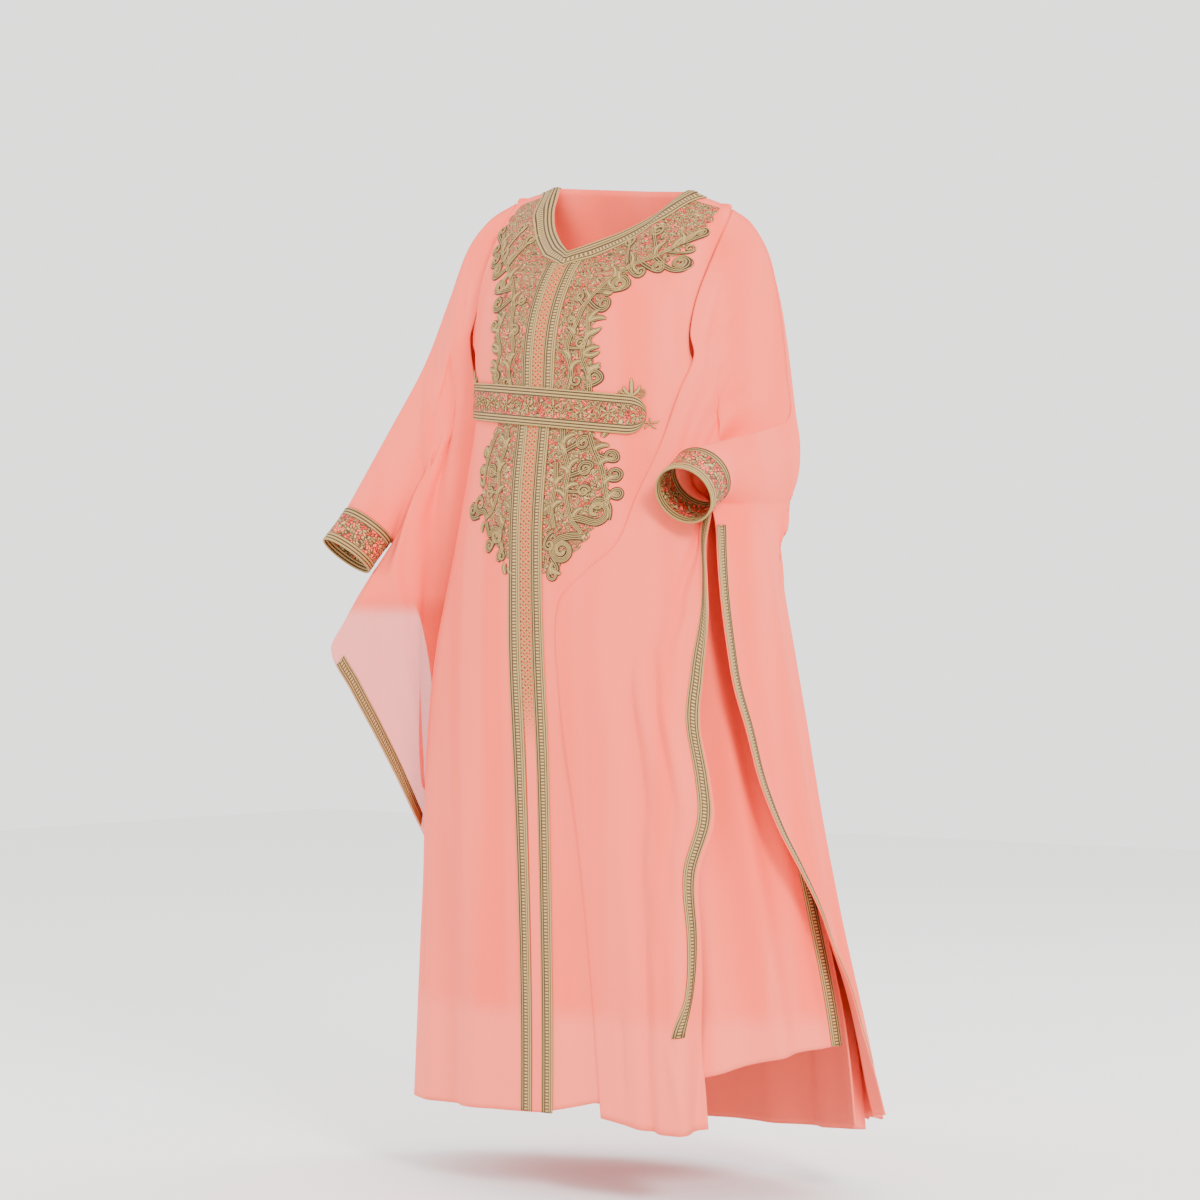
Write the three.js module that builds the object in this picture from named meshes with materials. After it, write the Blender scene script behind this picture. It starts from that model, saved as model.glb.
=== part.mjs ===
import * as THREE from 'three';

// A worn abaya with butterfly wings: a body of front and back panels, and on each side a wing of
// two layers that falls from the arm, closed round the wrist by a cuff and open below it.
// Millimetres, +Z up. The origin is the middle of the shoulder line, the front faces -Y and the
// wearer's left is at +X. Angles round the body are in degrees: 0 is the middle of the front,
// 90 the wearer's left side, -90 the right side and 180 the middle of the back.

const clothThickness = 2;
const seamGap = 0.3;
const trimLift = 0.8;
const trimThickness = 1.4;
const clearance = 0.15;
const overlayLift = 6;
const shoulderTilt = -0.085;
const shoulderTwist = 0.0003;
const yokeBottom = -300;

const cloth = new THREE.MeshStandardMaterial({ color: 0xf7a493, roughness: 0.8, metalness: 0 });
const gold = new THREE.MeshStandardMaterial({ color: 0xc2a276, roughness: 0.6, metalness: 0.2 });
const group = new THREE.Group();

const radians = (degrees) => (degrees * Math.PI) / 180;
const point = (x, y, z) => new THREE.Vector3(x, y, z);
const mix = (a, b, f) => a + (b - a) * f;
const ramp = (from, to, at) => THREE.MathUtils.smoothstep((at - from) / (to - from), 0, 1);
const bump = (offset, width) => Math.exp(-((offset / width) ** 2));

// Reads one column of a table at any value of its key, on a smooth curve through the rows.
function along(rows, key, at, column) {
  const last = rows.length - 1;
  const sign = Math.sign(rows[last][key] - rows[0][key]);
  if (sign * (at - rows[0][key]) <= 0) return rows[0][column];
  if (sign * (at - rows[last][key]) >= 0) return rows[last][column];
  let i = 0;
  while (sign * (at - rows[i + 1][key]) > 0) i += 1;
  const slope = (k) => {
    const before = rows[Math.max(k - 1, 0)];
    const after = rows[Math.min(k + 1, last)];
    return (after[column] - before[column]) / (after[key] - before[key]);
  };
  const step = rows[i + 1][key] - rows[i][key];
  const f = (at - rows[i][key]) / step;
  const rise = f * f * (3 - 2 * f);
  const easeOut = f * (1 - f) ** 2 * step * slope(i);
  const easeIn = f * f * (f - 1) * step * slope(i + 1);
  return mix(rows[i][column], rows[i + 1][column], rise) + easeOut + easeIn;
}

// Body sections below the yoke: half-widths on the wearer's right and left, the middle's place
// along Y, and the depths of the front and the back from it.
const bodySections = [
  { z: -300, right: 205, left: 205, mid: -62, front: 145, back: 160 },
  { z: -364, right: 203, left: 197, mid: -64, front: 153, back: 162 },
  { z: -450, right: 222, left: 202, mid: -58, front: 171, back: 166 },
  { z: -530, right: 249, left: 230, mid: -45, front: 190, back: 168 },
  { z: -696, right: 313, left: 264, mid: -20, front: 212, back: 172 },
  { z: -868, right: 352, left: 300, mid: 0, front: 221, back: 178 },
  { z: -1074, right: 370, left: 345, mid: 15, front: 228, back: 192 },
  { z: -1250, right: 388, left: 378, mid: 25, front: 234, back: 205 },
  { z: -1440, right: 402, left: 396, mid: 30, front: 240, back: 220 },
];

// The top edge of each half of the body: neck, shoulder and armhole, for the wearer's left.
const topFront = [
  { phi: 0, x: 0, y: -135, z: -102 },
  { phi: 8, x: 33, y: -112, z: -92 },
  { phi: 16, x: 68, y: -80, z: -65 },
  { phi: 24, x: 98, y: -42, z: -35 },
  { phi: 30, x: 118, y: -4, z: -1 },
  { phi: 40, x: 152, y: -2, z: -9 },
  { phi: 46, x: 175, y: -2.5, z: -16 },
  { phi: 52, x: 196, y: -3, z: -25 },
  { phi: 57, x: 194, y: -48, z: -95 },
  { phi: 62, x: 192, y: -86, z: -160 },
  { phi: 67, x: 194, y: -106, z: -212 },
  { phi: 72, x: 198, y: -107, z: -248 },
  { phi: 81, x: 206, y: -85, z: -260 },
  { phi: 90, x: 208, y: -62, z: -264 },
];
const topBack = [
  { phi: 180, x: 0, y: 62, z: 3 },
  { phi: 170, x: 42, y: 57, z: 3 },
  { phi: 160, x: 88, y: 38, z: 2 },
  { phi: 150, x: 118, y: -4, z: -1 },
  { phi: 140, x: 152, y: -2, z: -9 },
  { phi: 134, x: 175, y: -2.5, z: -16 },
  { phi: 128, x: 196, y: -3, z: -25 },
  { phi: 123, x: 196, y: 28, z: -90 },
  { phi: 118, x: 194, y: 32, z: -155 },
  { phi: 113, x: 196, y: 15, z: -210 },
  { phi: 108, x: 199, y: -10, z: -248 },
  { phi: 99, x: 206, y: -37, z: -260 },
  { phi: 90, x: 208, y: -62, z: -264 },
];

// Lengthwise folds of the body: the angle at the top and at the hem, the height where a fold
// starts and where it is full, how far it stands out, and its width in degrees.
const bodyFolds = [
  { top: -70, hem: -66, start: -330, full: -640, height: -12, width: 6 },
  { top: -50, hem: -31, start: -380, full: -760, height: -11, width: 8 },
  { top: -22, hem: -19, start: -560, full: -1100, height: 6, width: 6 },
  { top: 8, hem: 12, start: -600, full: -860, height: -6, width: 4 },
  { top: 34, hem: 36, start: -480, full: -900, height: -9, width: 6 },
  { top: 56, hem: 55, start: -430, full: -900, height: -12, width: 6 },
  { top: 76, hem: 73, start: -400, full: -900, height: -12, width: 6 },
  { top: 104, hem: 103, start: -380, full: -900, height: -12, width: 6 },
  { top: 124, hem: 121, start: -340, full: -800, height: -15, width: 6 },
  { top: 142, hem: 141, start: -420, full: -860, height: -14, width: 6 },
  { top: 163, hem: 162, start: -330, full: -900, height: -16, width: 6 },
  { top: -176, hem: -177, start: -420, full: -900, height: -15, width: 6 },
  { top: -156, hem: -154, start: -340, full: -860, height: -16, width: 6 },
  { top: -134, hem: -136, start: -400, full: -900, height: -14, width: 6 },
  { top: -112, hem: -110, start: -350, full: -900, height: -14, width: 6 },
];

const isFront = (phi) => Math.abs(phi) <= 90;

function topEdge(phi) {
  const rows = isFront(phi) ? topFront : topBack;
  const [x, y, z] = ['x', 'y', 'z'].map((column) => along(rows, 'phi', Math.abs(phi), column));
  const side = Math.sign(phi) * x;
  return point(side, y + shoulderTwist * side * x, z + shoulderTilt * side);
}

// A point of the smooth section ellipse, before folds.
function sectionPoint(phi, z) {
  const column = (name) => along(bodySections, 'z', z, name);
  const half = column(phi < 0 ? 'right' : 'left');
  const depth = column(isFront(phi) ? 'front' : 'back');
  const angle = radians(phi);
  return point(half * Math.sin(angle), column('mid') - depth * Math.cos(angle), z);
}

function foldHeight(phi, z) {
  let height = 0;
  for (const fold of bodyFolds) {
    const at = mix(fold.top, fold.hem, ramp(fold.start, -1400, z));
    const turn = ((phi - at + 540) % 360) - 180;
    height += fold.height * bump(turn, fold.width) * ramp(fold.start, fold.full, z);
  }
  return height;
}

// The outer face of the body at an angle and a height, folds included.
function bodyPoint(phi, z, lift = 0) {
  const angle = radians(phi);
  const out = point(Math.sin(angle), -Math.cos(angle), 0).multiplyScalar(lift + foldHeight(phi, z));
  if (z <= yokeBottom) return sectionPoint(phi, z).add(out);
  const top = topEdge(phi);
  const f = THREE.MathUtils.clamp((z - yokeBottom) / (top.z - yokeBottom), 0, 1);
  const base = sectionPoint(phi, yokeBottom);
  const y = mix(base.y, top.y, f ** 2.4);
  return point(mix(base.x, top.x, f), y, z).add(out);
}

// The hem rises at the wearer's left, where the side slit is drawn open, and trails at the back.
function hemHeight(phi) {
  const angle = radians(phi);
  if (isFront(phi)) return phi > 0 ? -1372 + 104 * Math.sin(angle) ** 1.2 : -1372 + 15 * Math.sin(angle);
  const behind = -Math.cos(angle);
  return phi > 0 ? mix(-1385, -1428, behind) : mix(-1392, -1428, behind);
}

// Makes a wall from rows of outer points: the inner face lies the thickness behind the outer
// one. facing is 1 where rows running down and columns running to the viewer's right face out.
function makeSheet(rows, facing, normalAt) {
  const height = rows.length;
  const width = rows[0].length;
  const at = (i, j) => rows[THREE.MathUtils.clamp(i, 0, height - 1)][THREE.MathUtils.clamp(j, 0, width - 1)];
  const normals = rows.map((row, i) => row.map((_, j) => {
    const down = at(i + 1, j).clone().sub(at(i - 1, j));
    const across = at(i, j + 1).clone().sub(at(i, j - 1));
    const normal = down.cross(across).normalize().multiplyScalar(facing);
    return normalAt ? normalAt(i, j, normal).normalize() : normal;
  }));
  return { rows, normals, facing };
}

// Closed solid over a block of a sheet's quads, from one depth behind its outer face to another.
function solidFrom(sheet, depthOut, depthIn, rowSpan, columnSpan) {
  const [top, bottom] = rowSpan ?? [0, sheet.rows.length - 1];
  const [left, right] = columnSpan ?? [0, sheet.rows[0].length - 1];
  const height = bottom - top + 1;
  const width = right - left + 1;
  const positions = [];
  for (const depth of [depthOut, depthIn]) {
    for (let i = top; i <= bottom; i += 1) {
      for (let j = left; j <= right; j += 1) {
        const p = sheet.rows[i][j].clone().addScaledVector(sheet.normals[i][j], -depth);
        positions.push(p.x, p.y, p.z);
      }
    }
  }
  const outer = (i, j) => i * width + j;
  const inner = (i, j) => height * width + i * width + j;
  const faces = [];
  const quad = (a, b, c, d) => faces.push(a, b, c, a, c, d);
  for (let i = 0; i < height - 1; i += 1) {
    for (let j = 0; j < width - 1; j += 1) {
      quad(outer(i, j), outer(i + 1, j), outer(i + 1, j + 1), outer(i, j + 1));
      faces.push(inner(i, j), inner(i + 1, j + 1), inner(i + 1, j));
      faces.push(inner(i, j), inner(i, j + 1), inner(i + 1, j + 1));
    }
  }
  for (let j = 0; j < width - 1; j += 1) {
    quad(outer(0, j), outer(0, j + 1), inner(0, j + 1), inner(0, j));
    quad(outer(height - 1, j + 1), outer(height - 1, j), inner(height - 1, j), inner(height - 1, j + 1));
  }
  for (let i = 0; i < height - 1; i += 1) {
    quad(outer(i + 1, 0), outer(i, 0), inner(i, 0), inner(i + 1, 0));
    quad(outer(i, width - 1), outer(i + 1, width - 1), inner(i + 1, width - 1), inner(i, width - 1));
  }
  if (sheet.facing < 0) {
    for (let k = 0; k < faces.length; k += 3) [faces[k + 1], faces[k + 2]] = [faces[k + 2], faces[k + 1]];
  }
  const geometry = new THREE.BufferGeometry();
  geometry.setAttribute('position', new THREE.Float32BufferAttribute(positions, 3));
  geometry.setIndex(faces);
  geometry.computeVertexNormals();
  return geometry;
}

function addPiece(name, geometry, material) {
  const mesh = new THREE.Mesh(geometry, material.clone());
  mesh.name = name;
  group.add(mesh);
}

const addWall = (name, sheet) => addPiece(name, solidFrom(sheet, 0, clothThickness), cloth);

function addTrim(name, sheet, rowSpan, columnSpan) {
  const outside = -(trimLift + trimThickness);
  addPiece(name, solidFrom(sheet, outside, -trimLift, rowSpan, columnSpan), gold);
}

// Body panels. Columns near the middle of the front keep the placket's real widths at every
// height; the others share the rest of the way round.
const placketEdges = [-29.5, -9.7, -9.3, 9.3, 9.7, 29.5];
const braidWidth = 20;
const sideAngles = [14.5, 22, 30, 40, 46, 52, 57, 62, 67, 72, 81, 90];
const frontDrops = [0, 0.032, 0.06, 0.09, 0.13, 0.165, 0.2, 0.235, 0.27, 0.31, 0.35, 0.4, 0.45, 0.5,
  0.55, 0.6, 0.65, 0.7, 0.75, 0.8, 0.85, 0.9, 0.95, 1];
const backAngles = [90, 99, 108, 113, 118, 123, 128, 134, 140, 150, 155, 160, 165, 170, 175, 180];
const sideSeamGap = 1.2;
const backDrops = [0, 0.03, 0.07, 0.12, 0.17, 0.22, 0.27, 0.32, 0.38, 0.44, 0.5, 0.56, 0.62, 0.68,
  0.74, 0.8, 0.86, 0.93, 1];

function panelPoint(phi, drop) {
  const top = topEdge(phi);
  return bodyPoint(phi, mix(top.z, hemHeight(phi), drop));
}

const frontTop = -102;
const frontHem = -1372;

// The angle at which a place lies a set width from the middle of the front.
function placketAngle(x, z) {
  const half = z > yokeBottom ? mix(235, 205, ramp(frontTop, yokeBottom, z)) : sectionPoint(90, z).x;
  return THREE.MathUtils.radToDeg(Math.asin(x / half));
}

const frontShares = sideAngles.map((phi) => {
  const edge = placketAngle(placketEdges.at(-1), frontTop);
  return (phi - edge) / (90 - edge);
});
const sideColumns = [
  ...frontShares.slice(0, -1).map((share) => ({ share })), { edge: braidWidth }, { share: 1 },
];
const frontColumns = [
  ...sideColumns.toReversed().map((column) => ({ side: -1, ...column })),
  ...placketEdges.map((x) => ({ x })),
  ...sideColumns.map((column) => ({ side: 1, ...column })),
];
const firstPlacketColumn = sideColumns.length;

function frontAngle(column, drop) {
  const middle = mix(frontTop, frontHem, drop);
  if (column.x !== undefined) return placketAngle(column.x, middle);
  const z = mix(topEdge(90).z, hemHeight(90), drop);
  if (column.edge) return column.side * (90 - THREE.MathUtils.radToDeg(column.edge / sectionPoint(90, z).x));
  return column.side * mix(placketAngle(placketEdges.at(-1), middle), 90, column.share);
}

// Both sides of a seam share the direction that their thickness takes: straight in at a side
// seam, straight down at a shoulder seam, and square to the body at an armhole.
const outward = (phi) => point(Math.sin(radians(phi)), -Math.cos(radians(phi)), 0.2);

function panelNormal(phi, i, normal) {
  const turned = isFront(phi) ? Math.abs(phi) : 180 - Math.abs(phi);
  if (turned > 89) normal.y = 0;
  else if (i === 0 && turned > 53) normal.copy(outward(phi));
  else if (i === 0 && turned > 29) normal.set(0, 0, 1);
  return normal;
}

const frontRows = frontDrops.map((drop) => frontColumns.map((column) => {
  const phi = frontAngle(column, drop);
  const p = panelPoint(phi, drop);
  p.y -= (Math.abs(phi) > 89.9 ? sideSeamGap : seamGap) / 2;
  return p;
}));
const frontSheet = makeSheet(frontRows, 1, (i, j, normal) => (
  panelNormal(frontAngle(frontColumns[j], frontDrops[i]), i, normal)));
addWall('front', frontSheet);

const backColumns = [...backAngles, ...backAngles.slice(0, -1).toReversed().map((phi) => -phi)];
const slitOpening = (phi, z) => (Math.abs(phi) === 90 ? ramp(-860, -1380, z) * (phi > 0 ? 9 : 3) : 0);
const backRows = backDrops.map((drop) => backColumns.map((phi) => {
  const side = Math.sign(phi);
  const hidden = side * Math.max(Math.abs(phi), 90.001);
  const z = mix(topEdge(phi).z, hemHeight(hidden), drop);
  const p = bodyPoint(hidden + side * slitOpening(phi, z), z);
  p.y += (Math.abs(phi) === 90 ? sideSeamGap : seamGap) / 2;
  return p;
}));
const backSheet = makeSheet(backRows, 1, (i, j, normal) => (
  panelNormal(Math.sign(backColumns[j]) * Math.max(Math.abs(backColumns[j]), 90.001), i, normal)));
addWall('back', backSheet);

// Wings. Each layer is stretched between four edges: the top edge over the arm, the inner edge
// on the armhole and down the body, the outer edge round the cuff's mouth and down the open
// side, and the hem. share runs along the top edge, drop runs down the inner and outer edges.
const leftCuff = {
  mouth: point(245, -132, -440), axis: point(0.117, -0.874, -0.473).normalize(),
  up: point(0.063, -0.469, 0.881).normalize(), radius: 44, length: 65, frontTurn: 1,
};
const rightCuff = {
  mouth: point(-354, -181, -504), axis: point(-0.29, -0.53, -0.79).normalize(),
  up: point(-0.635, -0.497, 0.592).normalize(), radius: 42, length: 62, frontTurn: -1,
};
for (const cuff of [leftCuff, rightCuff]) {
  cuff.up.addScaledVector(cuff.axis, -cuff.up.dot(cuff.axis)).normalize();
  cuff.side = cuff.axis.clone().cross(cuff.up).normalize();
  cuff.front = cuff.side.clone().multiplyScalar(cuff.frontTurn);
}

// turn 0 is the cuff's top, 90 its side.
function cuffOut(cuff, turn) {
  const angle = radians(turn);
  return cuff.up.clone().multiplyScalar(Math.cos(angle)).addScaledVector(cuff.side, Math.sin(angle));
}

const mouthDrop = 0.17;
const mouthTurn = 0.4;
const foldFade = 0.15;
const leftArm = [
  { share: 0, x: 196, y: 9, z: -42 },
  { share: 0.12, x: 222, y: 20, z: -64 },
  { share: 0.25, x: 243, y: 36, z: -112 },
  { share: 0.4, x: 254, y: 48, z: -190 },
  { share: 0.54, x: 260, y: 58, z: -285 },
  { share: 0.64, x: 265, y: 58, z: -345 },
  { share: 0.74, x: 262, y: 12, z: -366 },
  { share: 0.87, x: 253, y: -75, z: -384 },
  { share: 1, x: 248, y: -153, z: -400 },
];
const rightArm = [
  { share: 0, x: -196, y: -15, z: -8 },
  { share: 0.12, x: -226, y: -42, z: -34 },
  { share: 0.26, x: -247, y: -70, z: -80 },
  { share: 0.44, x: -267, y: -92, z: -159 },
  { share: 0.62, x: -296, y: -117, z: -259 },
  { share: 0.8, x: -335, y: -154, z: -359 },
  { share: 1, x: -381, y: -202, z: -479 },
];

// An edge row holds either a free point or a place on the body: an angle, a height and a lift.
function edgePoint(rows, drop) {
  const points = rows.map((row) => {
    if (row.phi === undefined) return { drop: row.drop, x: row.x, y: row.y, z: row.z };
    const p = row.z === undefined ? topEdge(row.phi) : bodyPoint(row.phi, row.z, row.lift ?? overlayLift);
    if (row.z === undefined) {
      const angle = radians(row.phi);
      p.add(point(Math.sin(angle), -Math.cos(angle), 0).multiplyScalar(row.lift ?? overlayLift));
    }
    return { drop: row.drop, x: p.x, y: p.y, z: p.z };
  });
  return point(...['x', 'y', 'z'].map((column) => along(points, 'drop', drop, column)));
}

function wingLayer(layer) {
  const { arm, cuff, layerSign, inner, outer, hem, gap, folds, pulls, braid, facing } = layer;
  const turnSign = layerSign * cuff.frontTurn;
  // The cuff's mouth is round, and a little way up the sleeve the cloth hangs straight again.
  const mouthRim = (drop) => {
    const turn = turnSign * mix(mouthTurn, 180 - mouthTurn, drop / mouthDrop);
    return cuff.mouth.clone().addScaledVector(cuffOut(cuff, turn), cuff.radius);
  };
  function outerPoint(drop, share) {
    if (drop > mouthDrop) return edgePoint(outer, drop);
    const straight = mouthRim(0).lerp(mouthRim(mouthDrop), drop / mouthDrop);
    return straight.lerp(mouthRim(drop), share ** 6);
  }
  // The last columns keep the braid's real width and place along the open edge.
  const shares = wingDrops.map((drop) => {
    const length = edgePoint(inner, drop).distanceTo(outerPoint(drop, 1));
    const inset = along(braid, 'drop', drop, 'inset');
    const open = ramp(mouthDrop, 0.24, drop);
    const braidStart = mix(0.93, 1 - (inset + braidWidth) / length, open);
    const braidEnd = mix(0.97, 1 - inset / length, open);
    return [...wingShares.map((share) => share * braidStart), braidEnd, 1];
  });
  const last = shares[0].length - 1;
  const corner = (share, drop) => edgePoint(inner, drop).lerp(outerPoint(drop, share), share);
  const armPoint = (share) => point(...['x', 'y', 'z'].map((c) => along(arm, 'share', share, c)));
  const hemPoint = (share) => point(...['x', 'y', 'z'].map((c) => along(hem, 'share', share, c)));
  const rows = wingDrops.map((drop, i) => shares[i].map((share) => {
    const p = corner(share, drop);
    const atTop = armPoint(share).sub(armPoint(0).lerp(armPoint(1), share));
    p.addScaledVector(atTop, (1 - drop) ** layer.armReach);
    if (hem) {
      const atHem = hemPoint(share).sub(hemPoint(0).lerp(hemPoint(1), share));
      p.addScaledVector(atHem, ramp(0.3, 1, drop));
    }
    return p;
  }));
  // The direction across the seam over the arm, towards this layer, and its way out.
  const across = (share) => point(0, -1, 0).lerp(cuff.front, ramp(0.45, 0.8, share)).normalize();
  const seamNormal = (share) => {
    const run = armPoint(Math.min(share + 0.02, 1)).sub(armPoint(Math.max(share - 0.02, 0)));
    const normal = run.cross(across(share)).normalize();
    return normal.dot(point(Math.sign(armPoint(0).x), 0, 1)) < 0 ? normal.negate() : normal;
  };
  rows[0].forEach((p, j) => {
    if (j > 0 && j < last) p.addScaledVector(across(shares[0][j]), (layerSign * seamGap) / 2);
  });
  const settle = (i, j, normal) => {
    const drop = wingDrops[i];
    if (j === last && drop < mouthDrop + 0.01) {
      return cuffOut(cuff, turnSign * mix(mouthTurn, 180 - mouthTurn, drop / mouthDrop));
    }
    if (i === 0) return seamNormal(shares[0][j]);
    if (j === 0 && drop < mouthDrop) return outward(along(inner, 'drop', drop, 'phi'));
    return normal;
  };
  const sheet = makeSheet(rows, facing);
  rows.forEach((row, i) => row.forEach((p, j) => {
    const drop = wingDrops[i];
    const share = shares[i][j];
    const edgeFade = Math.min(1, share / 0.12, (1 - share) / 0.12, drop / 0.06);
    let height = 0;
    for (const fold of folds) {
      const at = mix(fold.top, fold.hem, drop);
      const { fade = 2 } = fold;
      const grown = ramp(fold.start, fold.full, drop) * (1 - ramp(fade, fade + foldFade, drop));
      height += fold.height * bump(share - at, fold.width) * grown;
    }
    p.addScaledVector(sheet.normals[i][j], height * Math.max(edgeFade, 0));
    for (const pull of pulls) {
      const near = bump(share - pull.share, pull.wide) * bump(drop - pull.drop, pull.tall);
      p.addScaledVector(point(pull.x, pull.y, pull.z), near * Math.max(edgeFade, 0));
    }
    const inside = ramp(0, 0.5, share) * (1 - ramp(0.84, 1, share));
    keepOutside(p, mix(overlayLift, gap(p.z), inside), share);
    keepOffCuff(p, cuff, drop < mouthDrop + 0.01);
  }));
  return makeSheet(rows, facing, settle);
}

// Moves a point straight out from the body's middle until it is at least the gap away.
function keepOutside(p, gap, share) {
  if (p.z > -215 || share === 0) return;
  const column = (name) => along(bodySections, 'z', p.z, name);
  const mid = column('mid');
  const half = column(p.x < 0 ? 'right' : 'left');
  const depth = column(p.y < mid ? 'front' : 'back');
  const phi = THREE.MathUtils.radToDeg(Math.atan2(p.x / half, (mid - p.y) / depth));
  const body = bodyPoint(phi, Math.min(p.z, -265));
  const away = Math.hypot(p.x, p.y - mid);
  const least = Math.hypot(body.x, body.y - mid) + mix(-25, gap, ramp(-215, -262, p.z));
  const softness = 8;
  const blend = Math.max(softness - Math.abs(away - least), 0) / softness;
  const wanted = Math.max(away, least) + (blend * blend * softness) / 4;
  p.x *= wanted / away;
  p.y = mid + (p.y - mid) * (wanted / away);
}

// Moves a point off the cuff that sits beyond a sleeve's mouth. Points of the sleeve go back
// behind the mouth where that is nearer; the others clear the cuff's side from a way behind it.
const besideCuff = 5.6;
const clearBehind = { from: -70, full: -29 };

function keepOffCuff(p, cuff, onSleeve) {
  const offset = p.clone().sub(cuff.mouth);
  const on = offset.dot(cuff.axis);
  const radial = offset.addScaledVector(cuff.axis, -on);
  const past = 1 - ramp(cuff.length + 5, cuff.length + 40, on);
  const least = onSleeve ? cuff.radius + besideCuff * past
    : (cuff.radius + besideCuff * past) * ramp(clearBehind.from, clearBehind.full, on);
  const short = least - radial.length();
  if (short <= 0 || (onSleeve && on <= 0)) return;
  if (onSleeve && on < short) p.addScaledVector(cuff.axis, -on);
  else p.addScaledVector(radial.normalize(), short);
}

const gapTable = (rows) => (z) => along(rows, 'z', z, 'gap');

const leftFrontInner = [
  { drop: 0, phi: 52, lift: 1.7 }, { drop: 0.045, phi: 57, lift: 1.7 },
  { drop: 0.09, phi: 62, lift: 1.9 }, { drop: 0.13, phi: 67, lift: 2.4 },
  { drop: 0.17, phi: 72, lift: 5 }, { drop: 0.22, phi: 69, z: -315 },
  { drop: 0.28, phi: 61, z: -395 }, { drop: 0.34, phi: 47, z: -475 },
  { drop: 0.39, phi: 36, z: -540 }, { drop: 0.42, phi: 25, z: -575 },
  { drop: 0.46, phi: 13, z: -625 }, { drop: 0.56, phi: 11, z: -767 },
  { drop: 0.7, phi: 13.5, z: -965 }, { drop: 0.85, phi: 15, z: -1180 },
  { drop: 1, phi: 16.5, z: -1372 },
];
const leftFrontOuter = [
  { drop: 0.17, x: 242, y: -111, z: -480 }, { drop: 0.2, x: 241, y: -106, z: -493 },
  { drop: 0.23, x: 252, y: -134, z: -540 },
  { drop: 0.27, x: 270, y: -156, z: -592 }, { drop: 0.34, x: 274, y: -159, z: -649 },
  { drop: 0.46, x: 270, y: -165, z: -735 }, { drop: 0.53, x: 269, y: -170, z: -800 },
  { drop: 0.59, x: 280, y: -159, z: -883 }, { drop: 0.64, x: 284, y: -157, z: -939 },
  { drop: 0.7, x: 268, y: -170, z: -1015 }, { drop: 0.77, x: 268, y: -165, z: -1100 },
  { drop: 0.84, x: 266, y: -160, z: -1165 }, { drop: 0.91, x: 257, y: -150, z: -1250 },
  { drop: 1, x: 245, y: -132, z: -1381 },
];
const leftFrontHem = [
  { share: 0, x: 107, y: -200, z: -1372 }, { share: 0.25, x: 150, y: -200, z: -1378 },
  { share: 0.5, x: 196, y: -205, z: -1385 }, { share: 0.7, x: 232, y: -198, z: -1387 },
  { share: 0.85, x: 250, y: -176, z: -1385 }, { share: 1, x: 245, y: -132, z: -1381 },
];
const leftBackInner = [
  { drop: 0, phi: 128, lift: 2 }, { drop: 0.045, phi: 123, lift: 2.1 },
  { drop: 0.09, phi: 118, lift: 2.3 }, { drop: 0.13, phi: 113, lift: 2.4 },
  { drop: 0.17, phi: 108, lift: 5 }, { drop: 0.24, phi: 112, z: -340 },
  { drop: 0.34, phi: 122, z: -470 }, { drop: 0.46, phi: 133, z: -640 },
  { drop: 0.6, phi: 141, z: -840 }, { drop: 0.8, phi: 146, z: -1120 },
  { drop: 1, phi: 148, z: -1408 },
];
const leftBackOuter = [
  { drop: 0.17, x: 245, y: -110, z: -481 }, { drop: 0.2, x: 252, y: -109, z: -512 },
  { drop: 0.23, x: 270, y: -129, z: -560 },
  { drop: 0.28, x: 282, y: -137, z: -620 }, { drop: 0.34, x: 293, y: -136, z: -692 },
  { drop: 0.41, x: 301, y: -130, z: -749 }, { drop: 0.46, x: 314, y: -119, z: -807 },
  { drop: 0.53, x: 327, y: -105, z: -879 }, { drop: 0.6, x: 347, y: -84, z: -951 },
  { drop: 0.65, x: 367, y: -61, z: -1008 }, { drop: 0.71, x: 386, y: -39, z: -1066 },
  { drop: 0.77, x: 400, y: -20, z: -1125 }, { drop: 0.82, x: 412, y: 0, z: -1176 },
  { drop: 0.88, x: 420, y: 21, z: -1242 }, { drop: 0.95, x: 427, y: 45, z: -1310 },
  { drop: 1, x: 430, y: 66, z: -1369 },
];
const rightFrontInner = [
  { drop: 0, phi: -52, lift: 2.3 }, { drop: 0.045, phi: -57, lift: 2.1 },
  { drop: 0.09, phi: -62, lift: 1.9 }, { drop: 0.13, phi: -67, lift: 2.4 },
  { drop: 0.17, phi: -72, lift: 5 }, { drop: 0.24, phi: -72, z: -340 },
  { drop: 0.34, phi: -73, z: -500 }, { drop: 0.46, phi: -75, z: -680 },
  { drop: 0.6, phi: -77, z: -870 }, { drop: 0.8, phi: -79, z: -1120 },
  { drop: 1, phi: -80, z: -1385 },
];
const rightFrontOuter = [
  { drop: 0.17, x: -327, y: -160, z: -529 }, { drop: 0.2, x: -321, y: -157, z: -542 },
  { drop: 0.23, x: -352, y: -186, z: -590 },
  { drop: 0.26, x: -374, y: -214, z: -651 }, { drop: 0.3, x: -390, y: -228, z: -697 },
  { drop: 0.37, x: -377, y: -196, z: -762 }, { drop: 0.42, x: -364, y: -164, z: -820 },
  { drop: 0.49, x: -352, y: -123, z: -891 }, { drop: 0.56, x: -349, y: -82, z: -954 },
  { drop: 0.61, phi: -84, z: -1010, lift: 12 }, { drop: 0.7, phi: -95, z: -1100, lift: 12 },
  { drop: 0.85, phi: -105, z: -1250, lift: 12 }, { drop: 1, phi: -112, z: -1392, lift: 12 },
];
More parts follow.
